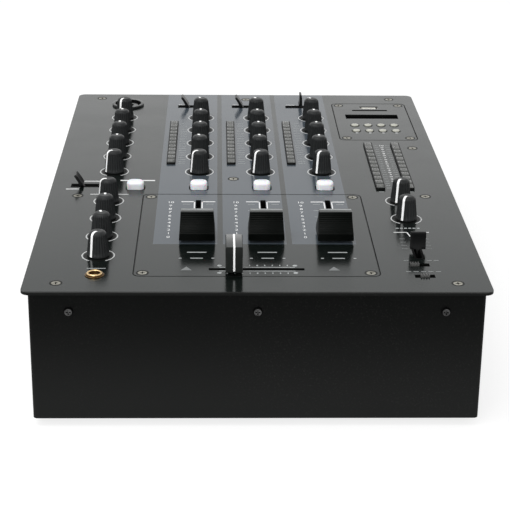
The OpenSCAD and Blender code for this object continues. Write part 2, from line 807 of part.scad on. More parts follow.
slider_h = 1.2;      // how far a slider stands out of the plate
slide_seat = 4;      // how far a slider reaches below the plate
module slide_switch(s) {
    w = slide_w - 2 * clear;
    h = slide_seat + plate_t + slider_h;
    color("#111111") translate([s[0] + s[2], row(s[1]), plate_z - slide_seat]) difference() {
        translate([-slider_l / 2, -w / 2, 0]) cube([slider_l, w, h]);
        for (i = [-1:1])
            translate([i * 1.5 - 0.35, -w, h - 0.6]) cube([0.7, 2 * w, 1]);
    }
}

module slide_housing(s) {
    difference() {
        block(s[0], s[1], [slide_l + 4, slide_w + 3, pot_h], board_z);
        block(s[0], s[1], [slide_l, slide_w, slide_seat + clear + cut], plate_z - slide_seat - clear);
    }
}

// ---------- cue buttons and player keys ----------

cue_r = 2;
cue_flange = 0.8;
cue_pin_r = 1.5;
cue_switch = [9, 9, 5];
cue_pin_in = 1.1;    // how far the pin reaches into its switch

module cue_button(x) color("white") translate([x, row(cue_row), 0]) {
    low = plate_z - clear - cue_flange;
    intersection() {
        translate([0, 0, low]) linear_extrude(top_z + cue_h - low) round_rect(cue_w, cue_d, cue_r);
        translate([0, 0, low]) along_x(cue_w) arch(cue_d, top_z + cue_h - low, 1.2);
        translate([0, 0, low]) along_y(cue_d) arch(cue_w, top_z + cue_h - low, 1.2);
    }
    translate([0, 0, low]) linear_extrude(cue_flange) square([cue_w + 2, cue_d + 2], center = true);
    pin = board_z + cue_switch[2] - cue_pin_in;
    translate([0, 0, pin]) cylinder(r = cue_pin_r, h = low - pin + cue_flange);
}

module cue_housing(x) {
    difference() {
        block(x, cue_row, cue_switch, board_z);
        post(x, cue_row, cue_pin_r + slip, board_z + cue_switch[2] - cue_pin_in - cue_travel - clear,
             cue_switch[2]);
    }
}

key_flange = 0.7;
key_pin_r = 0.9;
key_switch = [6, 6, 3];
key_pin_in = 0.9;    // how far the pin reaches into its switch
player_drop = 7;     // depth of the player's board below the plate
module player_key(n) color("gainsboro") translate([key_place(n)[0], row(key_place(n)[1]), 0]) {
    low = plate_z - clear - key_flange;
    dome = 0.6;
    pin = plate_z - player_drop + key_switch[2] - key_pin_in;
    translate([0, 0, low]) cylinder(d = key_d + 1.6, h = key_flange);
    translate([0, 0, low]) rotate_extrude() {
        square([key_d / 2, top_z + key_h - dome - low]);
        square([key_d / 2 - dome, top_z + key_h - low]);
        translate([key_d / 2 - dome, top_z + key_h - dome - low]) circle(dome);
    }
    translate([0, 0, pin]) cylinder(r = key_pin_r, h = low - pin + key_flange);
}

// ---------- sockets ----------

module top_sockets() {
    color("#18191a") {
        translate([mic_socket[0], row(mic_socket[1]), top_z]) mic_combo();
        translate([mic_x, row(phones_row), 0]) phones_body();
    }
    color("goldenrod") translate([mic_x, row(phones_row), top_z]) phones_ring();
}

// A microphone socket that takes a round plug or a jack: a flange, a ring-shaped well and a core with
// a jack bore and three pin holes.
mic_flange_h = 1.5;
mic_well_r = 9.6;
mic_core_r = 7.9;
mic_pin_ring = 5.6;
module mic_combo() {
    difference() {
        union() {
            cylinder(d = mic_flange_d, h = mic_flange_h);
            translate([0, 0, -mic_body_h]) cylinder(d = mic_body_d, h = mic_body_h + mic_flange_h);
        }
        translate([0, 0, -14]) difference() {
            cylinder(r = mic_well_r, h = 14 + mic_flange_h + cut);
            translate([0, 0, -cut]) cylinder(r = mic_core_r, h = 14 + cut);
        }
        translate([0, 0, -mic_body_h + 2]) cylinder(d = jack_bore_d, h = mic_body_h + 2 * cut);
        for (a = [90, 210, 330]) rotate(a) translate([mic_pin_ring, 0, -12])
            cylinder(r = 1.2, h = 12 + cut, $fn = 24);
    }
}

// The headphone socket: a body under the plate, and a round bush with its nut above.
module phones_body() {
    difference() {
        translate([-phones_body[0] / 2, -phones_body[1] / 2, plate_z - phones_body[2]]) cube(phones_body);
        translate([0, 0, plate_z - phones_body[2] + 2]) cylinder(d = jack_bore_d, h = phones_body[2]);
    }
}

module phones_ring() {
    difference() {
        union() {
            translate([0, 0, -plate_t]) cylinder(r = phones_bush_r, h = plate_t + phones_bush_h);
            cylinder(r = phones_bush_r + 0.7, h = phones_bush_h / 2);
        }
        translate([0, 0, -plate_t - cut]) cylinder(d = jack_bore_d, h = plate_t + phones_bush_h + 2 * cut);
    }
}

// Four phono sockets round a centre on the back wall.
module phono_places(x) {
    for (i = [-1, 1], j = [-1, 1])
        translate([x + i * phono_pitch / 2, back_wall_y, phono_z + j * phono_pitch / 2]) children();
}

phono_back = 11;
module phono_block(x) {
    size = [phono_pitch * 2, phono_back, phono_pitch * 2];
    difference() {
        union() {
            translate([x - size[0] / 2, back_wall_y - sheet_t - size[1], phono_z - size[2] / 2]) cube(size);
            phono_places(x) rotate([-90, 0, 0]) {
                translate([0, 0, -sheet_t - cut]) cylinder(r = phono_hole_r - slip, h = sheet_t + cut);
                cylinder(d = phono_d, h = phono_l);
            }
        }
        phono_places(x) rotate([-90, 0, 0]) translate([0, 0, -2]) cylinder(r = 1.6, h = phono_l + 2 + cut);
        phono_places(x) rotate([-90, 0, 0]) translate([0, 0, phono_l - 0.8]) cylinder(d = phono_d - 1.4, h = 2);
    }
}

// A cup that sits in a window of the back wall: a face outside and a box behind it.
cup_face_t = 1.5;
module wall_cup(p, face, hole, depth) {
    outer = [hole[0] + 2, depth + sheet_t + 1, hole[1] + 2];
    difference() {
        union() {
            translate([p[0] - face[0] / 2, back_wall_y, p[1] - face[1] / 2]) cube([face[0], cup_face_t, face[1]]);
            translate([p[0] - outer[0] / 2, back_wall_y - outer[1], p[1] - outer[2] / 2])
                cube([outer[0], outer[1] + cut, outer[2]]);
        }
        translate([p[0] - hole[0] / 2, back_wall_y - depth - sheet_t, p[1] - hole[1] / 2])
            cube([hole[0], depth + sheet_t + cup_face_t + cut, hole[1]]);
    }
}

module rear_sockets() color("#202122") {
    for (x = phono_xs) phono_block(x);
    wall_cup(inlet, inlet_face, inlet_hole, inlet_depth);
    for (b = [[-7, -1.5], [0, -4.5], [7, -1.5]])
        translate([inlet[0] + b[0] - 1, back_wall_y - inlet_depth - sheet_t - 0.5, inlet[1] + b[1] - 2])
            cube([2, inlet_depth - 1, 4]);
    difference() {
        wall_cup(rocker, rocker_face, rocker_hole, rocker_well);
        rocker_pivot(rocker_pin_r + slip, rocker_hole[0] + 1);
    }
}

rocker_well = 7;
rocker_pin_r = 1.2;
module rocker_pivot(r, l) {
    translate([rocker[0], back_wall_y - 2, rocker[1]]) rotate([0, 90, 0]) cylinder(r = r, h = l, center = true);
}

// The rocker: a shallow vee about its pin, tipped to one side.
module power_rocker() color("#2a0d0c") {
    half = rocker_hole[1] / 2 - 0.7;
    translate([rocker[0], back_wall_y - 2, rocker[1]]) rotate([rocker_tilt, 0, 0])
        along_x(rocker_hole[0] - 2 * clear)
            polygon([[-3, -2], [-1, -half], [2.2 + half * tan(rocker_tilt), -half], [2.2, 0],
                     [2.2 + half * tan(rocker_tilt), half], [-1, half], [-3, 2]]);
    rocker_pivot(rocker_pin_r, rocker_hole[0] + 0.8);
}

// ---------- circuit boards ----------

board_low = board_z - board_t;
module board(x0, x1, from, to, z) {
    translate([x0, row(from), z]) cube([x1 - x0, to - from, board_t]);
}

module circuit_boards() color("darkgreen") {
    difference() {
        union() {
            main_board();
            for (k = knobs) pot(k);
            for (n = [1:3]) fader_track(channel(n), fader_mid, fader_travel, 90);
            fader_track(0, cross_row, cross_travel, 0);
            for (v = levers) lever_housing(v);
            for (s = slides) slide_housing(s);
            for (x = cue_xs) cue_housing(x);
            for (m = meters) block(m[0], m[1] + meter_l / 2, [meter_w - 1, meter_l - 2, pot_h - meter_seat], board_z);
            post(pillar_screw[0], pillar_screw[1], screw_d, board_z, pot_h);
        }
        post(pillar_screw[0], pillar_screw[1], screw_hole_r, board_z, pot_h + cut);
    }
    player_board();
    power_board();
}

// The main board, cut back round the player and the headphone socket.
module main_board() {
    player_left = player_x - player_panel_w / 2;
    half = case_w / 2 - sheet_t - 2;
    board(-half, player_left - 2, monitor_row - 9, mic_socket[1] - mic_body_d / 2 - 3, board_low);
    board(player_left - 3, half, monitor_row - 9, player_panel_row - 3, board_low);
    board(mic_x + mic_body_d, player_left - 2, mic_socket[1] - mic_body_d, lever_row + 8, board_low);
    board(-cross_travel, half, slides[1][1] - 6, monitor_row, board_low);
}

// A rotary control: a square body under the plate and a bush through it, bored for the shaft.
module pot(k) {
    difference() {
        union() {
            block(k[1], k[2], [pot_w, pot_w, pot_h], board_z);
            post(k[1], k[2], bush_r, board_z, pot_h + plate_t);
        }
        post(k[1], k[2], shaft_d / 2 + slip, plate_z - pot_h / 2 - clear, pot_h + plate_t);
    }
}

// A fader's track: a long body with a groove that the tongue slides in.
module fader_track(x, from, travel, turn) {
    l = slot_l(travel);
    translate([x, row(from), board_z]) rotate(turn) difference() {
        translate([-l / 2 - 3.5, -fader_body_w / 2, 0]) cube([l + 7, fader_body_w, pot_h]);
        translate([-l / 2, -slot_w / 2, pot_h - tongue_depth - 1]) cube([l, slot_w, pot_h]);
    }
}

// The player's board, with its key switches, display, card slot and data port.
usb_shell = [13.2, 5.8, 14];
module player_board() {
    edge = 7.5;
    z = plate_z - player_drop;
    difference() {
        union() {
            board(player_x - player_panel_w / 2 + edge, player_x + player_panel_w / 2 - edge,
                  player_panel_row + edge, player_panel_row + player_panel_d - edge + 4, z - board_t);
            for (n = [1:8]) block(key_place(n)[0], key_place(n)[1], key_switch, z);
            block(player_x, display_row, [display_w + 2, display_d + 2, player_drop], z);
            block(player_x, card_row, [card_hole[0] + 2, card_hole[1] + 2, 22], plate_z - 22);
            block(player_x, usb_row, usb_shell, top_z - 0.4 - usb_shell[2]);
        }
        for (n = [1:8])
            post(key_place(n)[0], key_place(n)[1], key_pin_r + slip,
                 z + key_switch[2] - key_pin_in - key_travel - clear, key_switch[2]);
        block(player_x, display_row, [display_w, display_d, player_drop], top_z - display_sink - pane_t);
        block(player_x, card_row, [card_hole[0] - 1, card_hole[1] - 0.4, 22], plate_z - 20);
        difference() {
            block(player_x, usb_row, usb_shell - [0.8, 0.8, 0], top_z - 0.4 - usb_shell[2] + 2);
            block(player_x, usb_row + 1, [10.4, 1.8, usb_shell[2] - 1], top_z - 0.4 - usb_shell[2] + 1);
        }
    }
}

// The power supply stands on pillars on the case's floor.
power_size = [110, 70];
power_place = [case_w / 2 - power_size[0] / 2 - 8.4, plate_d - power_size[1] / 2 - 30];
module power_board() {
    floor_z = foot_h + sheet_t;
    pillar_h = 6;
    z = floor_z + pillar_h;
    translate([power_place[0] - power_size[0] / 2, row(power_place[1]) - power_size[1] / 2, z])
        cube([power_size[0], power_size[1], board_t]);
    for (i = [-1, 1], j = [-1, 1])
        post(power_place[0] + i * (power_size[0] / 2 - 5), power_place[1] + j * (power_size[1] / 2 - 5),
             2.5, floor_z, pillar_h);
    block(power_place[0] - 25, power_place[1] - 5, [44, 38, 30], z + board_t);
    for (i = [0, 1]) post(power_place[0] + 12 + 18 * i, power_place[1] + 8, 7, z + board_t, 22);
}

// ---------- drawing ----------

chassis();
top_plate();
fader_panel();
player_panel();
meter_windows();
top_sockets();
rear_sockets();
circuit_boards();
screws();
feet();
power_rocker();
for (k = knobs) knob_on_shaft(k);
for (n = [1:3]) channel_fader(n);
crossfader();
for (v = levers) lever_at(v);
for (n = [1:4]) cue_button(cue_xs[n - 1]);
for (n = [1:2]) slide_switch(slides[n - 1]);
for (n = [1:8]) player_key(n);
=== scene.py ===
"""Looks of a three-channel DJ mixer.

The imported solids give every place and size. Pieces that need a finer shape than a solid has are
built here in millimetres, set over the node that they stand for, and turned into metres at the end.
Places on the control plate are given as x and as a distance from its front edge.
"""
import json
import math

import bmesh
import bpy
from mathutils import Matrix, Vector


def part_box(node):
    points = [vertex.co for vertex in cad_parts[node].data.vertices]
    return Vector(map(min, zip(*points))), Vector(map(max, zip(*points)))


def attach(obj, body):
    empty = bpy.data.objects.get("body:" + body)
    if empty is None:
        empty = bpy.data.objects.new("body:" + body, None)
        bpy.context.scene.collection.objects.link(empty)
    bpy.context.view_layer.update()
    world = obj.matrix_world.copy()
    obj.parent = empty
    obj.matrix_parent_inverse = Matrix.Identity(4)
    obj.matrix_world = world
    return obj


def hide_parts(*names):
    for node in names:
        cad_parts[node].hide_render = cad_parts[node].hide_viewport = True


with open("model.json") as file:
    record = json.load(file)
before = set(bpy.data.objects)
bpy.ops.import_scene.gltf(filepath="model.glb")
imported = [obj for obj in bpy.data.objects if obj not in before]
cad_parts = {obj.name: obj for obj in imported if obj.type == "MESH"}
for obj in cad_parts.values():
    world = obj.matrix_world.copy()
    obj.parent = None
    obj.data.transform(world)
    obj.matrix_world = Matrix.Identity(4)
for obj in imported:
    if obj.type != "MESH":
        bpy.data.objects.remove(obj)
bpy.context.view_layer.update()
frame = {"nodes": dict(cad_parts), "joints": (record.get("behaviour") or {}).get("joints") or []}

METRES = 0.001
joints = {joint["child"]: joint for joint in frame["joints"]}
KNOBS = [node for node in joints if "_knob" in node]
LEVERS = [node for node in joints if node.endswith("_lever")]


def box_of(node):
    """The lowest and the highest corner of a node, in millimetres."""
    return [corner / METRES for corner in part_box(node)]


plate_low, plate_high = box_of("top_plate")
FRONT = plate_low.y          # front edge of the control plate
TOP = plate_high.z           # its upper face


def row(distance):
    """The y of a row that lies this far behind the plate's front edge."""
    return FRONT + distance


def middle_of(node):
    """The middle of a node's box, in millimetres."""
    low, high = box_of(node)
    return (low + high) / 2


def place_of(node):
    """The x and y of a control's joint, in millimetres."""
    return [number / METRES for number in joints[node]["pos_m"][:2]]


# ---------- node groups that several finishes share ----------

def new_group(name, inputs, outputs):
    """An empty shader node group; inputs are (name, kind, value) and outputs (name, kind)."""
    group = bpy.data.node_groups.new(name, "ShaderNodeTree")
    kinds = {"value": "NodeSocketFloat", "colour": "NodeSocketColor", "vector": "NodeSocketVector"}
    for label, kind, value in inputs:
        socket = group.interface.new_socket(label, in_out="INPUT", socket_type=kinds[kind])
        socket.default_value = value
    for label, kind in outputs:
        group.interface.new_socket(label, in_out="OUTPUT", socket_type=kinds[kind])
    return group, group.nodes.new("NodeGroupInput"), group.nodes.new("NodeGroupOutput")


def give(tree, socket, value):
    """Links an input to another socket, or sets it to a plain value."""
    if isinstance(value, bpy.types.NodeSocket):
        tree.links.new(value, socket)
    else:
        socket.default_value = value


def feed(tree, node, **values):
    """Gives a node's inputs their values, by their names with underscores for spaces."""
    for label, value in values.items():
        give(tree, node.inputs[label.replace("_", " ")], value)


def add_node(tree, kind, **values):
    """A shader node with its inputs fed."""
    node = tree.nodes.new("ShaderNode" + kind)
    feed(tree, node, **values)
    return node


def add_group(tree, group, **values):
    """Places a node group with its own values."""
    node = add_node(tree, "Group")
    node.node_tree = group
    feed(tree, node, **values)
    return node


def object_place(tree):
    """Object coordinates."""
    return add_node(tree, "TexCoord").outputs["Object"]


def add_noise(tree, scale, detail=3.0, roughness=0.55):
    """Noise on Object coordinates; scale is in features per metre."""
    return add_node(tree, "TexNoise", Vector=object_place(tree), Scale=scale, Detail=detail,
                    Roughness=roughness).outputs["Fac"]


def add_math(tree, operation, first, second, kind="Math"):
    """The result of an operation on two sockets or numbers."""
    node = add_node(tree, kind)
    node.operation = operation
    give(tree, node.inputs[0], first)
    give(tree, node.inputs[1], second)
    return node.outputs[0]


def add_range(tree, value, from_low, from_high, to_low, to_high):
    """Maps a value from one range to another, with smooth ends."""
    node = add_node(tree, "MapRange", Value=value, From_Min=from_low, From_Max=from_high,
                    To_Min=to_low, To_Max=to_high)
    node.interpolation_type = "SMOOTHSTEP"
    return node.outputs["Result"]


def add_mix(tree, share, first, second):
    """A colour mix of two sockets or colours."""
    node = add_node(tree, "Mix")
    node.data_type = "RGBA"
    feed(tree, node, Factor=share, A=first, B=second)
    return node.outputs["Result"]


def add_relief(tree, shader, height, strength, distance):
    """Gives a shader the relief of a height."""
    relief = add_node(tree, "Bump", Strength=strength, Distance=distance, Height=height)
    feed(tree, shader, Normal=relief.outputs["Normal"])


def build_grain():
    """Fine orange-peel grain of paint and moulded plastic: a height."""
    group, given, result = new_group(
        "surface grain",
        [("Grains per metre", "value", 2500.0), ("Waves per metre", "value", 300.0),
         ("Wave share", "value", 0.4)],
        [("Height", "value")])
    fine = add_noise(group, given.outputs["Grains per metre"], 2.0)
    broad = add_noise(group, given.outputs["Waves per metre"], 2.0)
    waves = add_math(group, "MULTIPLY", broad, given.outputs["Wave share"])
    feed(group, result, Height=add_math(group, "ADD", fine, waves))
    return group


def build_handling():
    """Marks of handling: broad smudges in the gloss, and a breath of dust that lifts the colour."""
    group, given, result = new_group(
        "handling marks",
        [("Colour", "colour", (0.5, 0.5, 0.5, 1)), ("Dust colour", "colour", (0.5, 0.49, 0.46, 1)),
         ("Dust", "value", 0.04), ("Roughness", "value", 0.4), ("Smudge", "value", 0.08)],
        [("Colour", "colour"), ("Roughness", "value")])
    smudges = add_range(group, add_noise(group, 28.0, 4.0, 0.6), 0.38, 0.66, 0.0, 1.0)
    specks = add_range(group, add_noise(group, 900.0, 3.0, 0.7), 0.52, 0.72, 0.0, 1.0)
    clouds = add_range(group, add_noise(group, 12.0, 3.0, 0.5), 0.35, 0.7, 0.25, 1.0)
    share = add_math(group, "MULTIPLY", add_math(group, "MULTIPLY", specks, clouds),
                     given.outputs["Dust"])
    change = add_math(group, "MULTIPLY", smudges, given.outputs["Smudge"])
    feed(group, result,
         Colour=add_mix(group, share, given.outputs["Colour"], given.outputs["Dust colour"]),
         Roughness=add_math(group, "ADD", given.outputs["Roughness"], change))
    return group


def build_brushing():
    """Fine lines of turned or brushed metal: a height and a mask."""
    group, given, result = new_group(
        "brushed lines", [("Stretch", "vector", (400.0, 4000.0, 400.0))],
        [("Height", "value"), ("Mask", "value")])
    place = add_math(group, "MULTIPLY", object_place(group), given.outputs["Stretch"], "VectorMath")
    lines = add_node(group, "TexNoise", Vector=place, Scale=1.0, Detail=3.0).outputs["Fac"]
    feed(group, result, Height=lines, Mask=add_range(group, lines, 0.35, 0.65, 0.0, 1.0))
    return group


GRAIN = build_grain()
HANDLING = build_handling()
BRUSHING = build_brushing()


# ---------- finishes ----------

def new_material(name):
    """A material with its node tree and its shader."""
    material = bpy.data.materials.new(name)
    material.use_nodes = True
    tree = material.node_tree
    return material, tree, tree.nodes["Principled BSDF"]


def finish(name, colour, roughness, grain=2500.0, bump=0.08, dust=0.05, **sockets):
    """A painted, moulded or cast finish with grain, dust and handling marks.

    sockets are values of the shader itself, by the names of its inputs with spaces as underscores.
    """
    material, tree, shader = new_material(name)
    marks = add_group(tree, HANDLING, Colour=(*colour, 1), Dust_colour=(0.45, 0.44, 0.41, 1),
                      Dust=dust, Roughness=roughness, Smudge=0.06)
    feed(tree, shader, Base_Color=marks.outputs["Colour"], Roughness=marks.outputs["Roughness"],
         **sockets)
    texture = add_group(tree, GRAIN, Grains_per_metre=grain, Waves_per_metre=300.0)
    add_relief(tree, shader, texture.outputs["Height"], bump, 0.0001)
    return material


def ink(name, colour):
    """A worn screen print."""
    return finish(name, colour, 0.45, grain=6000.0, bump=0.15, dust=0.06)


def lens(name, colour, roughness, dust=0.03):
    """A smooth clear-looking plastic."""
    return finish(name, colour, roughness, grain=1200.0, bump=0.02, dust=dust)


def fade_upward(material, low_colour, high_colour, low, high):
    """Paints shade into a finish: it darkens from one height, in metres, to another."""
    tree = material.node_tree
    parts = add_node(tree, "SeparateXYZ", Vector=object_place(tree))
    marks = next(node for node in tree.nodes if node.type == "GROUP" and node.node_tree == HANDLING)
    share = add_range(tree, parts.outputs["Z"], low, high, 0.0, 1.0)
    feed(tree, marks, Colour=add_mix(tree, share, low_colour, high_colour))


def metal(name, colour, dark, roughness):
    """A metal with brushed or turned lines and darker tarnish between them."""
    material, tree, shader = new_material(name)
    lines = add_group(tree, BRUSHING, Stretch=(400.0, 4000.0, 400.0))
    mask = lines.outputs["Mask"]
    feed(tree, shader, Metallic=1.0, Base_Color=add_mix(tree, mask, (*dark, 1), (*colour, 1)),
         Roughness=add_range(tree, mask, 0.0, 1.0, roughness + 0.1, roughness))
    add_relief(tree, shader, lines.outputs["Height"], 0.1, 0.00005)
    return material


plate_paint = finish("graphite plate paint", (0.0035, 0.0054, 0.0048), 0.15, bump=0.06, dust=0.02,
                     IOR=1.4, Specular_Tint=(0.9, 1.0, 0.98, 1.0))
strip_paint = finish("blue-grey strip paint", (0.057, 0.071, 0.086), 0.14, bump=0.06, dust=0.02,
                     IOR=1.4)
case_paint_and_shade = finish("black case paint with painted shade", (0.006, 0.0065, 0.0062), 0.5, grain=1800.0, bump=0.25,
                    dust=0.02, Specular_IOR_Level=0.07)
# Painted shade: the case's walls darken towards the top, under the plate's overhang.
fade_upward(case_paint_and_shade, (0.0155, 0.0162, 0.0158, 1), (0.0015, 0.0018, 0.0016, 1), 0.005, 0.08)
# Black for the sheets' edges, and painted shade for slot walls, the front band, under knobs and
# round screws.
black_edge_and_shade = finish("black edges and painted shade", (0.0045, 0.005, 0.0046), 0.4, bump=0.06, dust=0.02,
                    Specular_IOR_Level=0.1)
knob_plastic = finish("black knob plastic", (0.0165, 0.018, 0.0186), 0.36, grain=4000.0, bump=0.1,
                      dust=0.04, Specular_IOR_Level=0.17)
cap_plastic = finish("black fader plastic", (0.0012, 0.0018, 0.0014), 0.34, grain=5000.0,
                     bump=0.05, dust=0.01, Specular_IOR_Level=0.05)
# Painted highlight: the ridge on top of each channel fader's cap is lighter than the rest of the
# cap.
ridge_highlight_plastic = finish("fader ridge with painted highlight", (0.03, 0.033, 0.032), 0.3, grain=5000.0, bump=0.05,
                       dust=0.04)
fin_plastic = finish("black fin plastic", (0.0135, 0.0155, 0.0142), 0.36, grain=5000.0, dust=0.02,
                     Specular_IOR_Level=0.1)
# Painted highlight: the fin's flat top is lighter than its sides.
fin_top_highlight = finish("polished fin top with painted highlight", (0.03, 0.034, 0.033), 0.2, bump=0.05, dust=0.02, IOR=1.5)
lever_plastic = finish("black lever plastic", (0.004, 0.0043, 0.0045), 0.3, grain=4000.0,
                       bump=0.05, dust=0.02, Specular_IOR_Level=0.16)
slider_plastic = finish("grey slider plastic", (0.035, 0.036, 0.034), 0.4, grain=4000.0, dust=0.04)
# Painted glow: the white pointer paint gives off a little light of its own.
glowing_white_line = finish("white pointer paint with painted glow", (0.95, 0.955, 0.95), 0.4, bump=0.05, dust=0.02,
                    Emission_Color=(1, 1, 1, 1), Emission_Strength=0.12)
white_print = ink("white screen print", (0.82, 0.83, 0.83))
scale_print = ink("worn scale print", (0.6, 0.61, 0.61))
grey_print = ink("grey screen print", (0.36, 0.38, 0.38))
faint_print = ink("faint screen print", (0.18, 0.19, 0.19))
button_white = finish("milky button plastic", (0.88, 0.885, 0.93), 0.3, bump=0.03, dust=0.02,
                      Subsurface_Weight=0.3, Subsurface_Scale=0.002)
key_cream = finish("cream key plastic", (0.47, 0.47, 0.41), 0.35, bump=0.05, dust=0.03)
dark_plastic = finish("black socket plastic", (0.014, 0.0145, 0.015), 0.42, grain=3500.0,
                      bump=0.12)
# Black for the boards' parts, and painted shade in hollows, recesses, gaps and round slots.
black_parts_and_shade = finish("black parts and painted shade", (0.0015, 0.0015, 0.0015), 0.7, dust=0.01,
                    Specular_IOR_Level=0.05)
rubber = finish("black rubber", (0.014, 0.014, 0.0145), 0.75, grain=1500.0, bump=0.4, dust=0.15)
meter_lens = lens("smoked meter lens", (0.014, 0.018, 0.013), 0.2)
meter_lamp = lens("unlit meter lamp", (0.03, 0.037, 0.025), 0.25)
meter_mask = lens("lamp surround", (0.003, 0.0035, 0.003), 0.3, dust=0.02)
meter_tray_and_shade = finish("black meter tray and painted shade", (0.003, 0.003, 0.003), 0.45, dust=0.02,
                    Specular_IOR_Level=0.1)
display_glass = finish("unlit display", (0.004, 0.005, 0.0045), 0.2, bump=0.01, dust=0.02,
                       Specular_IOR_Level=0.2)
board_green = finish("green circuit board", (0.01, 0.07, 0.03), 0.35, bump=0.1, dust=0.08)
cream_plastic = finish("cream port tongue", (0.85, 0.84, 0.78), 0.4, dust=0.03)
phono_red = finish("red socket ring", (0.42, 0.02, 0.02), 0.35, dust=0.04)
phono_white = finish("white socket ring", (0.75, 0.75, 0.73), 0.35)
rocker_red = finish("dark red rocker", (0.07, 0.008, 0.006), 0.25, bump=0.03, dust=0.03)
zinc = metal("zinc plated steel", (0.47, 0.46, 0.4), (0.16, 0.15, 0.12), 0.3)
black_steel = metal("blackened steel", (0.1, 0.1, 0.1), (0.05, 0.05, 0.05), 0.3)
nickel = metal("nickel plated brass", (0.66, 0.65, 0.62), (0.45, 0.44, 0.42), 0.2)
gold = metal("gold plated brass", (0.86, 0.64, 0.36), (0.6, 0.42, 0.2), 0.18)
# Painted shade: brass darkened for the inside of the headphone socket.
brass_in_painted_shade = metal("brass in painted shade", (0.2, 0.12, 0.05), (0.07, 0.04, 0.015), 0.3)


# ---------- making pieces ----------

def add_object(name, data):
    """Puts data into the scene as an object."""
    made = bpy.data.objects.new(name, data)
    bpy.context.scene.collection.objects.link(made)
    return made


def piece(name, shape, body, materials, replaces=(), smooth=35.0, turn_out=True,
          flat_above=0.0):
    """Turns a shape drawn in millimetres into a piece that rides on a body.

    smooth is the angle, in degrees, above which an edge stays sharp. Faces larger than flat_above,
    in square millimetres, are shaded flat.
    """
    if turn_out:
        bmesh.ops.recalc_face_normals(shape, faces=shape.faces)
    bmesh.ops.scale(shape, vec=(METRES,) * 3, verts=shape.verts)
    mesh = bpy.data.meshes.new(name)
    shape.to_mesh(mesh)
    shape.free()
    for material in materials:
        mesh.materials.append(material)
    mesh.shade_smooth()
    mesh.set_sharp_from_angle(angle=math.radians(smooth))
    for face in mesh.polygons:
        if flat_above and face.area > flat_above * METRES ** 2:
            face.use_smooth = False
    made = add_object(name, mesh)
    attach(made, body)
    if replaces:
        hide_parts(*replaces)


def dress_copy(name, shape, body, materials, node, smooth=30.0, flat_above=0.0):
    """A piece made of the copy of a node, in that node's place; its faces stay as they point."""
    piece(name, shape, body, materials, [node], smooth, False, flat_above)


def turned(degrees, axis="Z"):
    """A turn about an axis."""
    return Matrix.Rotation(math.radians(degrees), 4, axis)


def bevel(shape, edges, width, segments=2):
    """Rounds some edges of a shape."""
    bmesh.ops.bevel(shape, geom=edges, offset=width, offset_type="OFFSET", segments=segments,
                    profile=0.5, affect="EDGES", clamp_overlap=True, material=-1)


def sharp_edges(shape, angle):
    """The edges where two faces meet at more than an angle."""
    return [edge for edge in shape.edges
            if len(edge.link_faces) == 2 and edge.calc_face_angle(0.0) > math.radians(angle)]


def paint(verts, material):
    """Gives every face at some vertices the number of its material."""
    for face in {face for vert in verts for face in vert.link_faces}:
        face.material_index = material


def part_faces(shape, cuts):
    """Parts a shape's faces along planes, each given as a point and a normal."""
    for point, normal in cuts:
        bmesh.ops.bisect_plane(shape, geom=shape.verts[:] + shape.edges[:] + shape.faces[:],
                               plane_co=point, plane_no=normal)


def add_block(shape, centre, size, turn=0.0, material=0):
    """A block with its centre at a point, turned about Z."""
    matrix = Matrix.Translation(centre) @ turned(turn) @ Matrix.Diagonal((*size, 1.0))
    paint(bmesh.ops.create_cube(shape, size=1.0, matrix=matrix)["verts"], material)


def add_disc(shape, centre, radius, height, segments=32, material=0):
    """A round post that stands on a point."""
    matrix = Matrix.Translation(Vector(centre) + Vector((0, 0, height / 2)))
    verts = bmesh.ops.create_cone(
        shape, cap_ends=True, cap_tris=False, segments=segments, radius1=radius, radius2=radius,
        depth=height, matrix=matrix)["verts"]
    paint(verts, material)
    return verts


def add_turned(shape, profile, centre, steps=48, material=0):
    """A turned form: a half outline of (radius, height) spun about the upright through a point."""
    points = [shape.verts.new((radius, 0, height)) for radius, height in profile]
    edges = [shape.edges.new(pair) for pair in zip(points, points[1:])]
    bmesh.ops.spin(shape, geom=points + edges, cent=(0, 0, 0), axis=(0, 0, 1), angle=math.tau,
                   steps=steps, use_merge=True, use_duplicate=False)
    verts = connected(points[0])
    bmesh.ops.remove_doubles(shape, verts=verts, dist=1e-4)
    verts = [vert for vert in verts if vert.is_valid]
    bmesh.ops.translate(shape, vec=Vector(centre), verts=verts)
    paint(verts, material)


def connected(start):
    """Every vertex that is joined to one, in the order of finding."""
    found, seen = [start], {start}
    for vert in found:
        for edge in vert.link_edges:
            other = edge.other_vert(vert)
            if other not in seen:
                seen.add(other)
                found.append(other)
    return found


def add_prism(shape, outline, length, axis="X", material=0):
    """A prism whose outline, a ring of points, lies across X or Y through the origin."""
    half = length / 2
    if axis == "X":
        ring = [shape.verts.new((-half, a, b)) for a, b in outline]
        step = (length, 0, 0)
    else:
        ring = [shape.verts.new((a, -half, b)) for a, b in outline]
        step = (0, length, 0)
    face = shape.faces.new(ring)
    made = bmesh.ops.extrude_face_region(shape, geom=[face], use_keep_orig=True)["geom"]
    moved = [item for item in made if isinstance(item, bmesh.types.BMVert)]
    bmesh.ops.translate(shape, vec=step, verts=moved)
    paint(ring + moved, material)


def join_rings(shape, rings):
    """Faces between each ring of vertices and the next."""
    for lower, upper in zip(rings, rings[1:]):
        for i, (below, above) in enumerate(zip(lower, upper)):
            j = (i + 1) % len(lower)
            shape.faces.new((below, lower[j], upper[j], above))


def arc_points(centre, radius, start, end, steps):
    """Points along an arc, in degrees."""
    angles = [math.radians(start + (end - start) * i / steps) for i in range(steps + 1)]
    return [(centre[0] + radius * math.cos(angle), centre[1] + radius * math.sin(angle))
            for angle in angles]


RIM_W = 1.2                  # rounding of the plate's front edge
EASED = 40.0                 # degrees above which a node's edges are rounded


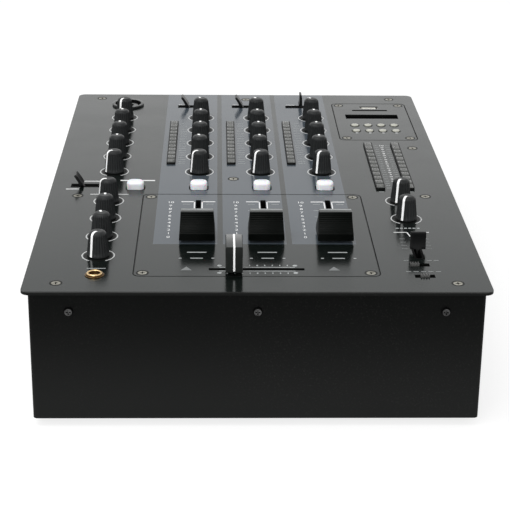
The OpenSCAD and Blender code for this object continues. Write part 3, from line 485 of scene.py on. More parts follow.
def copy_of(node, edge_width=0.0, segments=2, cuts=(), choose=None, rim=None):
    """A merged copy of a node's mesh, in millimetres, with its sharp edges eased.

    cuts are planes along which faces are parted. choose takes a face's centre and normal and gives
    the number of its material. rim picks the edges that get a wide rounding.
    """
    shape = bmesh.new()
    shape.from_mesh(frame["nodes"][node].data)
    bmesh.ops.scale(shape, vec=(1 / METRES,) * 3, verts=shape.verts)
    bmesh.ops.remove_doubles(shape, verts=shape.verts, dist=0.002)
    part_faces(shape, cuts)
    shape.normal_update()
    for face in shape.faces:
        face.material_index = choose(face.calc_center_median(), face.normal) if choose else 0
    bmesh.ops.dissolve_limit(shape, angle_limit=math.radians(0.5), verts=shape.verts,
                             edges=shape.edges, use_dissolve_boundaries=False,
                             delimit={"MATERIAL"})
    if rim:
        bevel(shape, [edge for edge in sharp_edges(shape, EASED) if rim(edge)], RIM_W, 5)
    if edge_width:
        bevel(shape, sharp_edges(shape, EASED), edge_width, segments)
    return shape


# ---------- knobs ----------

KNOB_FOOT_R = 6.5
KNOB_TOP_R = 5.2
KNOB_H = 14.6
CROWN_R = 2.6
KNOB_GAP = 0.4
RIB_COUNT = 24
RIB_DEPTH = 0.42
POINTER_W = 1.4
POINTER_START = 1.0          # how far from the middle the line begins
HALF_SWEEP = 150.0           # degrees from a knob's middle setting to its limit


def knob_profile():
    """Half outline of a knob: rolled foot, tapered side, round crown and slightly hollow top."""
    side_h = KNOB_H - CROWN_R
    side = [(KNOB_FOOT_R - (KNOB_FOOT_R - KNOB_TOP_R) * z / side_h, z)
            for z in (0.5, 1.1, 1.8, 3.2, 5.5, 8.0, 10.0, side_h)]
    crown = arc_points((KNOB_TOP_R - CROWN_R, side_h), CROWN_R, 0, 90, 7)[1:]
    return ([(0, 0), (KNOB_FOOT_R - 0.45, 0), (KNOB_FOOT_R - 0.12, 0.12)] + side + crown
            + [(KNOB_TOP_R - CROWN_R - 0.8, KNOB_H - 0.02), (1.0, KNOB_H - 0.1),
               (0, KNOB_H - 0.12)])


def ramp(value):
    """A value held between 0 and 1."""
    return min(1.0, max(0.0, value))


def cut_ribs(shape):
    """Presses grip ribs into the knob's side; they run out in the crown and above the foot."""
    for vert in shape.verts:
        x, y, z = vert.co
        radius = math.hypot(x, y)
        if radius < KNOB_TOP_R - 1.3:
            continue
        angle = math.atan2(x, y)
        fade = ramp((z - 0.9) / 1.2) * ramp((KNOB_H - 0.7 - z) / 1.8)
        bare = ramp((abs(math.degrees(angle)) - 7.0) / 6.0)
        wave = (0.5 - 0.5 * math.cos(angle * RIB_COUNT)) ** 0.7
        shrink = 1.0 - RIB_DEPTH * wave * fade * bare / radius
        vert.co = (x * shrink, y * shrink, z)


def add_pointer(shape):
    """Raises a white line from near the middle over the crown down to the foot."""
    half = POINTER_W / 2
    part_faces(shape, [((half, 0, 0), (1, 0, 0)), ((-half, 0, 0), (-1, 0, 0)),
                       ((0, POINTER_START, 0), (0, 1, 0))])
    line = []
    for face in shape.faces:
        x, y, z = face.calc_center_median()
        if abs(x) < half - 0.01 and y > POINTER_START and z > 0.45:
            line.append(face)
    walls = bmesh.ops.inset_region(shape, faces=line, thickness=0.05, depth=0.12,
                                   use_even_offset=True, use_boundary=True)["faces"]
    for face in line + walls:
        face.material_index = 1


def dress_knobs():
    """A ribbed knob for every rotary control, turned to its control's resting angle."""
    for node in KNOBS:
        shape = bmesh.new()
        add_turned(shape, knob_profile(), (0, 0, 0), steps=RIB_COUNT * 6)
        cut_ribs(shape)
        bmesh.ops.recalc_face_normals(shape, faces=shape.faces)
        add_pointer(shape)
        rest = HALF_SWEEP - joints[node]["range_deg"][1]
        place = Matrix.Translation((*place_of(node), TOP + KNOB_GAP)) @ turned(rest)
        bmesh.ops.transform(shape, matrix=place, verts=shape.verts)
        piece(node + "_cap", shape, node, [knob_plastic, glowing_white_line], [node], smooth=50)


dress_knobs()


# ---------- faders ----------

CAP_W, CAP_L, CAP_H, CAP_GAP = 21.0, 20.0, 15.2, 1.8
CAP_FOOT, CAP_RIDGE, HOLLOW_R = 4.0, 5.0, 16.0
CAP_DRAFT = 1.0              # how much narrower each side is at the top
TONGUE_W, TONGUE_L, TONGUE_H = 2.2, 6.0, 7.4
TONGUE_DROP = Vector((0, 0, -3.2))


def hollow_slope(ribs=13, rib_depth=0.22):
    """Points down one hollow slope of a fader cap, from ridge to foot, with fine ribs across it."""
    low, high = Vector((CAP_L / 2, CAP_FOOT)), Vector((CAP_RIDGE / 2, CAP_H))
    chord = high - low
    reach = math.sqrt(HOLLOW_R ** 2 - chord.length_squared / 4)
    centre = (low + high) / 2 + reach * Vector((chord.y, -chord.x)).normalized()
    start, end = (math.degrees(math.atan2(point.y - centre.y, point.x - centre.x)) % 360
                  for point in (high, low))
    points = []
    steps = ribs * 4
    for i in range(steps + 1):
        angle = math.radians(start + (end - start) * i / steps)
        edge = min(1.0, i / 3, (steps - i) / 3)
        depth = rib_depth * (0.5 - 0.5 * math.cos(math.tau * i / 4)) * edge
        points.append((centre.x + (HOLLOW_R + depth) * math.cos(angle),
                       centre.y + (HOLLOW_R + depth) * math.sin(angle)))
    return points


def end_edges(shape, axis, reach):
    """The sharp edges in the two ends of a prism; axis is 0 for X and 1 for Y."""
    return [edge for edge in sharp_edges(shape, 60)
            if abs(abs(edge.verts[0].co[axis]) - reach) < 0.01
            and abs(edge.verts[0].co[axis] - edge.verts[1].co[axis]) < 0.01]


def cap_place(node):
    """Where the foot of a fader's cap stands."""
    return Vector((*middle_of(node).xy, TOP + CAP_GAP))


def dress_channel_faders():
    """A wide cap with two hollow ribbed slopes and a pale line along its ridge."""
    slope = hollow_slope()
    outline = ([(-CAP_L / 2, 0), (CAP_L / 2, 0)] + slope[::-1] + [(-a, b) for a, b in slope])
    for n in (1, 2, 3):
        node = f"channel_fader_{n}"
        shape = bmesh.new()
        add_prism(shape, outline, CAP_W, "X")
        bevel(shape, end_edges(shape, 0, CAP_W / 2), 0.35, 2)
        for vert in shape.verts:
            vert.co.x *= 1 - CAP_DRAFT * max(0.0, vert.co.z) / CAP_H / (CAP_W / 2)
        # The faces along the ridge take the lighter finish, a painted highlight.
        for face in shape.faces:
            if face.calc_center_median().z > CAP_H - 0.5:
                face.material_index = 3
        add_block(shape, (0, 0.9, CAP_H + 0.04), (CAP_W - 2 * CAP_DRAFT - 0.6, 1.1, 0.16),
                  material=1)
        place = cap_place(node)
        bmesh.ops.translate(shape, vec=place, verts=shape.verts)
        add_block(shape, place + TONGUE_DROP, (TONGUE_W, TONGUE_L, TONGUE_H), material=2)
        piece(node + "_cap", shape, node, [cap_plastic, grey_print, nickel, ridge_highlight_plastic],
              [node])


CROSS_W, CROSS_L = 9.4, 20.0
LINE_W, LINE_RISE, NOSE_R = 1.05, 0.15, 0.4


def dress_crossfader():
    """A narrow fin with grip grooves along its sides and a white line over its top."""
    half = CROSS_W / 2
    side = [(half, 0.0)]
    for n in range(5):
        z = 2.6 + 1.5 * n
        side += [(half, z - 0.45), (half - 0.28, z - 0.2), (half - 0.28, z + 0.2), (half, z + 0.45)]
    side += arc_points((half - 0.7, CAP_H - 0.7), 0.7, 0, 90, 4)
    shape = bmesh.new()
    add_prism(shape, side + [(-a, b) for a, b in side[::-1]], CROSS_L, "Y")
    bevel(shape, end_edges(shape, 1, CROSS_L / 2), NOSE_R, 3)
    bmesh.ops.recalc_face_normals(shape, faces=shape.faces)
    # The crossfader's flat top takes the lighter finish, a painted highlight.
    for face in shape.faces:
        if face.normal.z > 0.9 and face.calc_center_median().z > CAP_H - 0.3:
            face.material_index = 3
    reach = CROSS_L / 2
    nose = arc_points((reach - NOSE_R, CAP_H - NOSE_R), NOSE_R + LINE_RISE, 0, 90, 4)
    outer = ([(-reach - LINE_RISE, 1.0)] + [(-a, b) for a, b in nose] + nose[::-1]
             + [(reach + LINE_RISE, 1.0)])
    inner = [(a * 0.94, min(b, CAP_H - 0.6)) for a, b in outer[::-1]]
    add_prism(shape, outer + inner, LINE_W, "X", material=1)
    place = cap_place("crossfader")
    bmesh.ops.translate(shape, vec=place, verts=shape.verts)
    add_block(shape, place + TONGUE_DROP, (TONGUE_L, TONGUE_W, TONGUE_H), material=2)
    piece("crossfader_cap", shape, "crossfader", [fin_plastic, glowing_white_line, nickel, fin_top_highlight],
          ["crossfader"], smooth=18)


dress_channel_faders()
dress_crossfader()


# ---------- levers ----------

PIVOT_DEPTH, TILT = 6.0, 30.0
PADDLE_W, PADDLE_T, PADDLE_TIP = 9.0, 2.6, 1.5
PADDLE_H, LONG_PADDLE_H = 8.3, 10.3
STEM_R, PIVOT_R, PIVOT_L = 1.0, 1.6, 7.0
SLOT_L, SLOT_W = 22.4, 3.4
PADDLE_FOOT = ((PIVOT_DEPTH + 0.3 + PADDLE_T / 2 * math.sin(math.radians(TILT)))
               / math.cos(math.radians(TILT)))


def lever_turn(node):
    """The turn about the upright of a lever: 90 degrees where it tilts along Y."""
    return 90.0 if abs(joints[node]["axis"][0]) > 0.5 else 0.0


def dress_levers():
    """A thin waisted paddle on a steel stem for every lever."""
    for node in LEVERS:
        joint = joints[node]
        height = LONG_PADDLE_H if node == "curve_lever" else PADDLE_H
        shape = bmesh.new()
        add_block(shape, (0, 0, PADDLE_FOOT + height / 2), (PADDLE_T, PADDLE_W, height))
        bmesh.ops.subdivide_edges(shape, edges=shape.edges[:], cuts=5, use_grid_fill=True)
        for vert in shape.verts:
            share = (vert.co.z - PADDLE_FOOT) / height
            waist = 1 - 0.085 * math.sin(math.pi * min(1.0, share * 1.15))
            taper = 1 + (PADDLE_TIP / PADDLE_T - 1) * share
            bow = 0.35 * (4 * share * (1 - share) - 0.5)
            vert.co.x = vert.co.x * taper * waist + bow
            if not 0.05 <= share <= 0.95:
                vert.co.y *= 0.98
        bevel(shape, sharp_edges(shape, 50), 0.22, 2)
        add_disc(shape, (0, 0, -0.6), STEM_R, PADDLE_FOOT + 1.2, segments=20, material=1)
        pivot = bmesh.ops.create_cone(
            shape, cap_ends=True, segments=24, radius1=PIVOT_R, radius2=PIVOT_R, depth=PIVOT_L,
            matrix=turned(90, "X"))["verts"]
        paint(pivot, 1)
        place = (Matrix.Translation(Vector(joint["pos_m"]) / METRES) @ turned(lever_turn(node))
                 @ turned(TILT - joint["range_deg"][1], "Y"))
        bmesh.ops.transform(shape, matrix=place, verts=shape.verts)
        piece(node + "_paddle", shape, node, [lever_plastic, black_steel], [node])


def dress_lever_slots():
    """Painted shade and reflection: a thin black surround round every lever's slot."""
    shape = bmesh.new()
    for node in LEVERS:
        x, y = place_of(node)
        turn = lever_turn(node)
        for side in (-1, 1):
            for offset, size in (((0, side * (SLOT_W + 1.3) / 2, 0), (SLOT_L, 1.3, 0.2)),
                                 ((side * (SLOT_L - 0.8) / 2, 0, 0), (0.8, SLOT_W, 0.2))):
                shift = turned(turn) @ Vector(offset)
                add_block(shape, (x + shift.x, y + shift.y, TOP + 0.09), size, turn)
    bmesh.ops.remove_doubles(shape, verts=shape.verts, dist=1e-4)
    piece("lever_slot_shade", shape, "case", [black_parts_and_shade])


dress_levers()
dress_lever_slots()


# ---------- buttons and keys ----------

CUE_BUTTONS = [f"cue_button_{n}" for n in (1, 2, 3, 4)]
PLAYER_KEYS = [f"player_key_{n}" for n in range(1, 9)]
CUE_W, CUE_D, CUE_CORNER = 10.8, 9.0, 3.4
KEY_R = 2.6


def rounded_ring(width, depth, radius, steps=6):
    """The corners of a rectangle with round corners about the origin, anticlockwise."""
    points = []
    for x, y, start in ((1, 1, 0), (-1, 1, 90), (-1, -1, 180), (1, -1, 270)):
        points += arc_points((x * (width / 2 - radius), y * (depth / 2 - radius)), radius,
                             start, start + 90, steps)
    return points


def add_pillow(shape, centre, width, depth, radius, heights):
    """A closed form of stacked rounded rectangles; heights is a list of (inset, height)."""
    rings = []
    for inset, height in heights:
        ring = rounded_ring(width - 2 * inset, depth - 2 * inset, max(0.3, radius - inset * 0.6))
        rings.append([shape.verts.new((centre.x + a, centre.y + b, height)) for a, b in ring])
    join_rings(shape, rings)
    shape.faces.new(rings[0][::-1])
    shape.faces.new(rings[-1])


def dress_cue_buttons():
    """A milky button with a soft crown."""
    for node in CUE_BUTTONS:
        top = box_of(node)[1].z
        shoulder = [(1.7 * (1 - math.cos(angle)), top - 2.1 + 1.8 * math.sin(angle))
                    for angle in map(math.radians, (15, 30, 45, 60, 75, 90))]
        heights = ([(0.0, TOP - 1.4), (0.0, top - 2.1)] + shoulder
                   + [(2.4, top - 0.12), (3.3, top)])
        shape = bmesh.new()
        add_pillow(shape, middle_of(node), CUE_W, CUE_D, CUE_CORNER, heights)
        piece(node + "_cap", shape, node, [button_white], [node], smooth=60)


def dress_player_keys():
    """Round cream keys with a domed top."""
    for node in PLAYER_KEYS:
        centre, top = middle_of(node), box_of(node)[1].z
        edge = arc_points((KEY_R - 0.35, top - 0.62), 0.35, 0, 90, 3)
        shape = bmesh.new()
        add_turned(shape, [(0, TOP - 4.0), (KEY_R, TOP - 4.0)] + edge
                   + [(1.3, top - 0.07), (0.5, top - 0.01), (0, top)],
                   (centre.x, centre.y, 0), steps=36)
        piece(node + "_cap", shape, node, [key_cream], [node], smooth=60)


dress_cue_buttons()
dress_player_keys()


# ---------- plate, panels and case ----------

STRIPS = ((-58.9, -21.75), (-18.55, 18.3), (21.5, 58.5))
STRIP_FRONT = 71.3
EDGE_BAND = 1.7              # painted shade: black band over the rounding along the plate's front edge
SHEET_EDGE = 0.16            # rounding of the sheets' other edges


def plate_finish(centre, normal):
    """Blue-grey channel strips on a graphite plate with black edges, and a black band of painted
    shade along its front.
    """
    if normal.z < 0.8 or centre.y < row(EDGE_BAND):
        return 1
    if centre.z < TOP - 0.3 or centre.y < row(STRIP_FRONT):
        return 0
    return 2 if any(left < centre.x < right for left, right in STRIPS) else 0


def plate_rim(edge):
    """Whether an edge is the upper one along the plate's front."""
    middle = (edge.verts[0].co + edge.verts[1].co) / 2
    return middle.y < row(3.0) and min(vert.co.z for vert in edge.verts) > TOP - 0.05


def dress_sheets():
    """Copies of the painted sheets with eased edges. Walls of slots and edges are black; in the
    slots this is painted shade.
    """
    cuts = [((x, 0, 0), (1, 0, 0)) for strip in STRIPS for x in strip]
    cuts += [((0, row(distance), 0), (0, 1, 0)) for distance in (STRIP_FRONT, EDGE_BAND)]
    paints = [plate_paint, black_edge_and_shade, strip_paint]

    def add_sheet(node, shape, materials):
        dress_copy(node + "_painted", shape, "case", materials, node, flat_above=3.0)

    for node in ("top_plate", "fader_panel"):
        shape = copy_of(node, SHEET_EDGE, cuts=cuts, choose=plate_finish,
                        rim=plate_rim if node == "top_plate" else None)
        # Faces below the top, such as the walls of slots, are black: painted shade.
        for face in shape.faces:
            if face.normal.z < 0.95 and face.calc_center_median().z < TOP - 0.02:
                face.material_index = 1
        add_sheet(node, shape, paints)
    shape = copy_of("player_panel", SHEET_EDGE, choose=lambda centre, normal: int(normal.z < 0.8))
    add_sheet("player_panel", shape, paints[:2])
    add_sheet("chassis", copy_of("chassis", 0.2), [case_paint_and_shade])


dress_sheets()


def paint_node(node, materials, choose=None):
    """Gives a node its finishes; choose takes a face's centre and normal and gives a number."""
    mesh = frame["nodes"][node].data
    mesh.materials.clear()
    for material in materials:
        mesh.materials.append(material)
    if choose:
        for face in mesh.polygons:
            face.material_index = choose(face.center / METRES, face.normal)


def screw_finish(centre, normal):
    """Zinc plated heads with painted shade in their recesses; the screws in the case's front are
    black.
    """
    if centre.y < row(8) and centre.z < TOP - 4:
        return 1 if centre.y < row(3.2) and abs(normal.y) > 0.9 else 2
    depth = TOP - centre.z
    upright = abs(normal.z) < 0.5
    # Faces in the heads' recesses are black: painted shade.
    return 2 if 0.5 < depth < 1.1 or (0.02 < depth < 1.1 and upright) else 0


def dress_screws():
    """Every screw of the plate, the panels, the case's front and the feet."""
    dress_copy("screws_plated", copy_of("screws", choose=screw_finish), "case",
               [zinc, black_steel, black_parts_and_shade], "screws")


METER_PLACES = [(x, 216.5) for x in (-52.6, -12.5, 27.6)] + [(82.3, 166.5), (101.0, 166.5)]
METER_L, METER_W, METER_RISE, SEGMENTS = 95.0, 6.0, 1.3, 12
MASK_W, LAMP_W = 2.6, 1.4


def meter_finish(centre, normal):
    """A lens on every meter, a black tray under it, and unlit glass in the display."""
    if centre.z < TOP - 2:
        return 3
    return 0 if normal.z > 0.5 and centre.z > TOP else 1


def dress_meters():
    """Level meters: smoked bars in black trays, with an unlit lamp in every segment, and black
    strips of painted shade along their sides and ends.
    """
    shape = copy_of("meter_windows", 0.12, choose=meter_finish)
    # The ends of each bar's top take the tray's black: painted shade.
    for face in shape.faces:
        centre = face.calc_center_median()
        near = [abs(centre.x - x) for x, _ in METER_PLACES]
        if centre.z > TOP + 0.1 and min(near) < METER_W / 2 - 0.35:
            front = METER_PLACES[near.index(min(near))][1]
            inside = row(front + 0.5) < centre.y < row(front + METER_L - 0.5)
            face.material_index = 0 if inside else 1
    top = TOP + METER_RISE
    step = (METER_L - 0.2) / SEGMENTS
    for x, front in METER_PLACES:
        middle = front + METER_L / 2
        for i in range(SEGMENTS):
            y = row(front + 0.1 + step * (i + 0.5))
            add_block(shape, (x, y, top), (MASK_W, step * 0.56, 0.03), material=4)
            add_block(shape, (x, y, top + 0.005), (LAMP_W, step * 0.4, 0.04), material=2)
        # Painted shade: black strips along both sides of each bar and across the plate at both
        # ends.
        for side in (-1, 1):
            add_block(shape, (x + side * (METER_W / 2 - 0.4), row(middle), top),
                      (0.65, METER_L - 0.4, 0.04), material=1)
            add_block(shape, (x, row(middle + side * (METER_L / 2 + 0.35)), TOP + 0.02),
                      (METER_W, 0.7, 0.06), material=1)
    dress_copy("meter_bars", shape, "case",
               [meter_lens, meter_tray_and_shade, meter_lamp, display_glass, meter_mask],
               "meter_windows")


MIC_X, MIC_ROW = -88.4, 356.6
PHONES_X, PHONES_ROW = -89.0, 25.0


def top_socket_finish(centre, normal):
    """Black of painted shade in the hollows and a brown throat of painted shade; the microphone
    flange's top is painted as the plate is.
    """
    from_mic = math.hypot(centre.x - MIC_X, centre.y - row(MIC_ROW))
    from_phones = math.hypot(centre.x - PHONES_X, centre.y - row(PHONES_ROW))
    if centre.y < row(60):
        return 4 if centre.z > TOP - 3.5 and from_phones < 6 else 2
    if centre.z > TOP + 1.3 and normal.z > 0.8:
        return 3
    return 2 if from_mic < 9.8 and centre.z > TOP - 8 else 0


def dress_top_sockets():
    """The gold headphone ring and the black microphone socket, with eased edges."""
    shape = copy_of("top_sockets", 0.28, segments=3, choose=top_socket_finish)

    def add_ring(x, distance, profile, material, steps=48):
        """A closed ring; heights are above the plate."""
        add_turned(shape, profile + profile[:1], (x, row(distance), TOP), steps, material)

    add_ring(MIC_X, MIC_ROW, [(7.2, -0.02), (7.2, 0.05), (4.2, 0.05), (4.2, -0.02)], 3)
    rim = arc_points((3.75, 1.0), 0.6, 180, 0, 8) + [(4.2, 0.7), (3.3, 0.7)]
    collar = [(4.72, 0.85), (4.72, -0.05), (4.2, -0.05), (4.2, 0.8)]
    throat = [(2.9, -0.4), (3.12, 0.98), (3.4, 0.6), (3.05, -0.4)]
    funnel = [(3.15, -0.6), (2.1, -1.6), (2.1, -3.4), (3.15, -3.4)]
    # Painted shade: the throat and the funnel inside the headphone ring are darker brass, and its
    # collar is black.
    add_ring(PHONES_X, PHONES_ROW, rim, 1)
    add_ring(PHONES_X, PHONES_ROW, throat, 4)
    add_ring(PHONES_X, PHONES_ROW, collar, 2)
    add_ring(PHONES_X, PHONES_ROW, funnel, 4, steps=24)
    dress_copy("sockets_on_plate", shape, "case",
               [dark_plastic, gold, black_parts_and_shade, plate_paint, brass_in_painted_shade],
               "top_sockets", smooth=50)


PHONO_X, PHONO_Z, PHONO_PITCH = (-88, -50, -12, 26), 46.525, 14.0
BARREL_R = 3.8
BACK_WALL = 186.45           # y of the back wall's outer face
INLET_SIDE, INLET_X, INLET_Z = 60.0, 84.0, 49.0


def rear_socket_finish(centre, normal):
    """Nickel barrels with red and white rings, and bright pins in the black mains inlet."""
    if centre.x > INLET_SIDE:
        pin = (abs(centre.x - INLET_X) < 8.5 and abs(centre.z - INLET_Z) < 3 and centre.z > 40
               and centre.y < BACK_WALL - 1.8 and abs(normal.y) < 0.5)
        return 1 if pin else 0
    if centre.y < BACK_WALL - 0.1:
        return 0
    dx = min(abs(centre.x - x - side * PHONO_PITCH / 2) for x in PHONO_X for side in (-1, 1))
    dz = min(abs(centre.z - PHONO_Z - side * PHONO_PITCH / 2) for side in (-1, 1))
    if math.hypot(dx, dz) > BARREL_R:
        return 1
    return 2 if centre.z < PHONO_Z else 3


def dress_rear_sockets():
    """The phono sockets and the mains inlet in the back wall."""
    dress_copy("sockets_at_back", copy_of("rear_sockets", 0.12, choose=rear_socket_finish),
               "case", [dark_plastic, nickel, phono_red, phono_white], "rear_sockets",
               smooth=40)


PORT_X, PORT_ROW = 91.6, 351.2


def board_finish(centre, normal):
    """Green boards, black parts on them, and the data port's bright shell and tongue."""
    side = abs(centre.x - PORT_X)
    if side < 6.7 and abs(centre.y - row(PORT_ROW)) < 3.0 and centre.z > TOP - 14.6:
        return 3 if side < 5.3 and abs(centre.y - row(PORT_ROW + 1)) < 1.2 else 2
    return 0 if abs(normal.z) > 0.9 and centre.z < TOP - 11.4 else 1


dress_screws()
dress_meters()
dress_top_sockets()
dress_rear_sockets()
paint_node("feet", [rubber])
paint_node("circuit_boards", [board_green, black_parts_and_shade, nickel, cream_plastic], board_finish)
paint_node("power_rocker", [rocker_red])
for number in (1, 2):
    switch = f"slide_switch_{number}"
    dress_copy(f"slider_{number}", copy_of(switch, 0.12), switch, [slider_plastic],
               switch)


# ---------- print and painted shade on the plate ---

PRINT_T, SINK = 0.05, 0.01    # thickness of the print, and how far it is sunk in the plate
DISC_R, SCALE_R, SCALE_W = 8.2, 9.1, 0.65    # disc of painted shade and reflection under a knob, and arc round it
FADER_COLUMNS = (-33.5, 6.6, 46.7)
LEVER_COLUMNS = (-39.8, 0.3, 40.4)
# Inset panels: middle, front row, width and depth.
PANELS = ((0.0, 23.1, 136.0, 134.0), (91.6, 271.0, 54.6, 91.0))
PANEL_SCREW_EDGE = 5.0
SCREW_RING_R = 3.1
CROSS_LEFT, CROSS_RIGHT, CROSS_ROW = -20.6, 21.4, 33.4
PLATE_SCREWS = ((-108.99, 13.5), (-108.99, 154), (-108.99, 374), (108.99, 13.5), (108.99, 154),
                (112.69, 253), (108.99, 374), (0, 372), (-11.4, 187))


def print_number(shape, number, x, distance, size):
    """A number laid on the plate."""
    curve = bpy.data.curves.new("label", "FONT")
    curve.body = str(number)
    curve.size = size
    curve.align_x = "CENTER"
    curve.align_y = "CENTER"
    curve.extrude = PRINT_T / 2
    curve.resolution_u = 3
    holder = add_object("label", curve)
    bpy.context.view_layer.update()
    mesh = bpy.data.meshes.new_from_object(
        holder.evaluated_get(bpy.context.evaluated_depsgraph_get()))
    before = set(shape.verts)
    shape.from_mesh(mesh)
    bpy.data.objects.remove(holder)
    bpy.data.curves.remove(curve)
    bpy.data.meshes.remove(mesh)
    bmesh.ops.translate(shape, vec=(x, row(distance), TOP + PRINT_T / 2),
                        verts=[vert for vert in shape.verts if vert not in before])


def print_line(shape, start, end, width, material=0):
    """A line between two places on the plate."""
    a, b = Vector((start[0], row(start[1]))), Vector((end[0], row(end[1])))
    middle, step = (a + b) / 2, b - a
    add_block(shape, (middle.x, middle.y, TOP + PRINT_T / 2 - SINK),
              (step.length, width, PRINT_T + 2 * SINK),
              math.degrees(math.atan2(step.y, step.x)), material)


def print_bar(shape, x, distance, length, width, material=0):
    """A line across the plate, given by its middle."""
    print_line(shape, (x - length / 2, distance), (x + length / 2, distance), width, material)


def print_arc(shape, x, y, radius, width, start=0, end=360, steps=32):
    """A ring or part of one."""
    ring = [shape.verts.new((radius + a, 0, z)) for a, z in
            ((-width / 2, -SINK), (width / 2, -SINK), (width / 2, PRINT_T), (-width / 2, PRINT_T))]
    face = shape.faces.new(ring)
    bmesh.ops.rotate(shape, verts=ring, cent=(0, 0, 0), matrix=turned(start))
    bmesh.ops.spin(shape, geom=ring + [face], cent=(0, 0, 0), axis=(0, 0, 1),
                   angle=math.radians(end - start), steps=steps, use_merge=False,
                   use_duplicate=False)
    bmesh.ops.translate(shape, vec=(x, y, TOP), verts=connected(ring[0]))


def print_frame(shape, x, y, size, radius, insets):
    """A frame with round corners, between two insets of a rectangle."""
    near, far = insets
    rings = []
    for inset, z in ((near, -SINK), (near, PRINT_T), (far, PRINT_T), (far, -SINK)):
        outline = rounded_ring(size[0] - 2 * inset, size[1] - 2 * inset, radius - inset)
        rings.append([shape.verts.new((x + a, y + b, TOP + z)) for a, b in outline])
    join_rings(shape, rings + rings[:1])


def print_knob_scales():
    """A black disc of painted shade and reflection under every knob, and a white arc round it, open
    at the front.
    """
    disc_shade, arcs = bmesh.new(), bmesh.new()
    for node in KNOBS:
        x, y = place_of(node)
        # Painted shade and reflection: a black disc round the knob's foot.
        add_disc(disc_shade, (x, y, TOP - SINK), DISC_R, PRINT_T, segments=48)
        print_arc(arcs, x, y, SCALE_R, SCALE_W, -60, 240, steps=40)
    piece("knob_disc_shade", disc_shade, "case", [black_edge_and_shade])
    piece("knob_scales", arcs, "case", [scale_print])


def print_fader_scales():
    """Numbers from 0 to 10 beside every channel fader and a bracket at the back of its slot."""
    shape = bmesh.new()
    for x in FADER_COLUMNS:
        for i in range(11):
            print_number(shape, i, x - 17.0, 82.5 + 5.95 * i, 4.2)
        for side in (-1, 1):
            print_bar(shape, x + side * 6.25, 143.2, 8.5, 1.2)
            print_line(shape, (x + side * 2.35, 143.7), (x + side * 2.35, 130.0), 0.75)
            for i in range(6):
                print_bar(shape, x + side * 7.25, 138.6 - 11 * i, 4.5, 0.5, material=1)
    piece("fader_scales", shape, "case", [white_print, grey_print])


def print_dark_rims():
    """Painted shade: dark rings where the screws' heads sit, and the dark edge of each inset panel.
    """
    shape = bmesh.new()
    places = list(PLATE_SCREWS)
    for middle, front, width, depth in PANELS:
        places += [(middle + side * (width / 2 - PANEL_SCREW_EDGE), front + at)
                   for side in (-1, 1) for at in (PANEL_SCREW_EDGE, depth - PANEL_SCREW_EDGE)]
    # Painted shade round every screw's head.
    for x, distance in places:
        print_arc(shape, x, row(distance), SCREW_RING_R, 1.0)
    # Painted shade along each inset panel's edge.
    for middle, front, width, depth in PANELS:
        print_frame(shape, middle, row(front + depth / 2), (width, depth), 4.0, (0.05, 0.4))
    piece("rim_shade", shape, "case", [black_edge_and_shade])


def print_gaps():
    """Painted shade: dark gaps round the cue buttons and the player's keys."""
    shape = bmesh.new()
    for node in CUE_BUTTONS:
        print_frame(shape, *middle_of(node).xy, (CUE_W + 0.4, CUE_D + 0.4), 2.6, (0, -0.6))
    for node in PLAYER_KEYS:
        print_arc(shape, *middle_of(node).xy, KEY_R + 0.4, 0.7)
    piece("button_gap_shade", shape, "case", [black_parts_and_shade])


def print_side_marks():
    """Plain marks in front of every channel fader: left, through and right."""
    shape = bmesh.new()
    for x in FADER_COLUMNS:
        for offset, length in ((-9.2, 1.6), (0.0, 7.0), (9.2, 1.6)):
            print_bar(shape, x + offset, 49.6, length, 1.1)
        print_bar(shape, x, 58.6, 11.0, 1.2)
    piece("side_marks", shape, "case", [grey_print])


def print_crossfader_scale():
    """Ticks on both sides of the crossfader's slot and a plain mark at each end."""
    shape = bmesh.new()
    for x in (CROSS_LEFT, CROSS_RIGHT):
        for distance in (38.6, 28.0):
            add_disc(shape, (x, row(distance), TOP - SINK), 1.3, PRINT_T + SINK, segments=12)
    for i in range(1, 10):
        x = CROSS_LEFT + (CROSS_RIGHT - CROSS_LEFT) * i / 10
        for distance in (38.8, 27.6):
            print_line(shape, (x, distance - 0.9), (x, distance + 0.9), 0.6 if i != 5 else 0.9)
    for distance in (CROSS_ROW - 2.7, CROSS_ROW + 2.7):
        print_line(shape, (CROSS_LEFT - 0.2, distance), (CROSS_RIGHT, distance), 0.7)
    for x, turn in ((-39.0, 120), (43.0, -120)):
        centre = (x, row(33.5), TOP - SINK)
        verts = add_disc(shape, centre, 3.6, PRINT_T + SINK, segments=3)
        bmesh.ops.rotate(shape, verts=verts, cent=centre, matrix=turned(turn))
        paint(verts, 1)
    piece("crossfader_scale", shape, "case", [grey_print, faint_print])


def print_meter_scales():
    """Fine lines beside the channel meters; numbers and lines between the master meters."""
    shape = bmesh.new()
    step = METER_L / SEGMENTS / 2
    for x, front in METER_PLACES[:3]:
        for i in range(2 * SEGMENTS):
            print_bar(shape, x + 7.0, front + step * (i + 0.5), 4.8, 0.45, material=1)
    left, right = METER_PLACES[3][0], METER_PLACES[4][0]
    middle = (left + right) / 2
    for i in range(21):
        distance = 170.0 + 4.4 * i
        if i % 2 == 0:
            print_number(shape, i // 2, middle, distance, 3.8)
        else:
            print_bar(shape, middle, distance, 2.0, 0.8)
        for x in (left + 5.5, right - 5.5):
            print_bar(shape, x, distance, 2.6, 0.5, material=1)
    for x in (left, right):
        print_bar(shape, x, 162.6, 3.2, 0.8, material=1)
    piece("meter_scales", shape, "case", [white_print, grey_print])


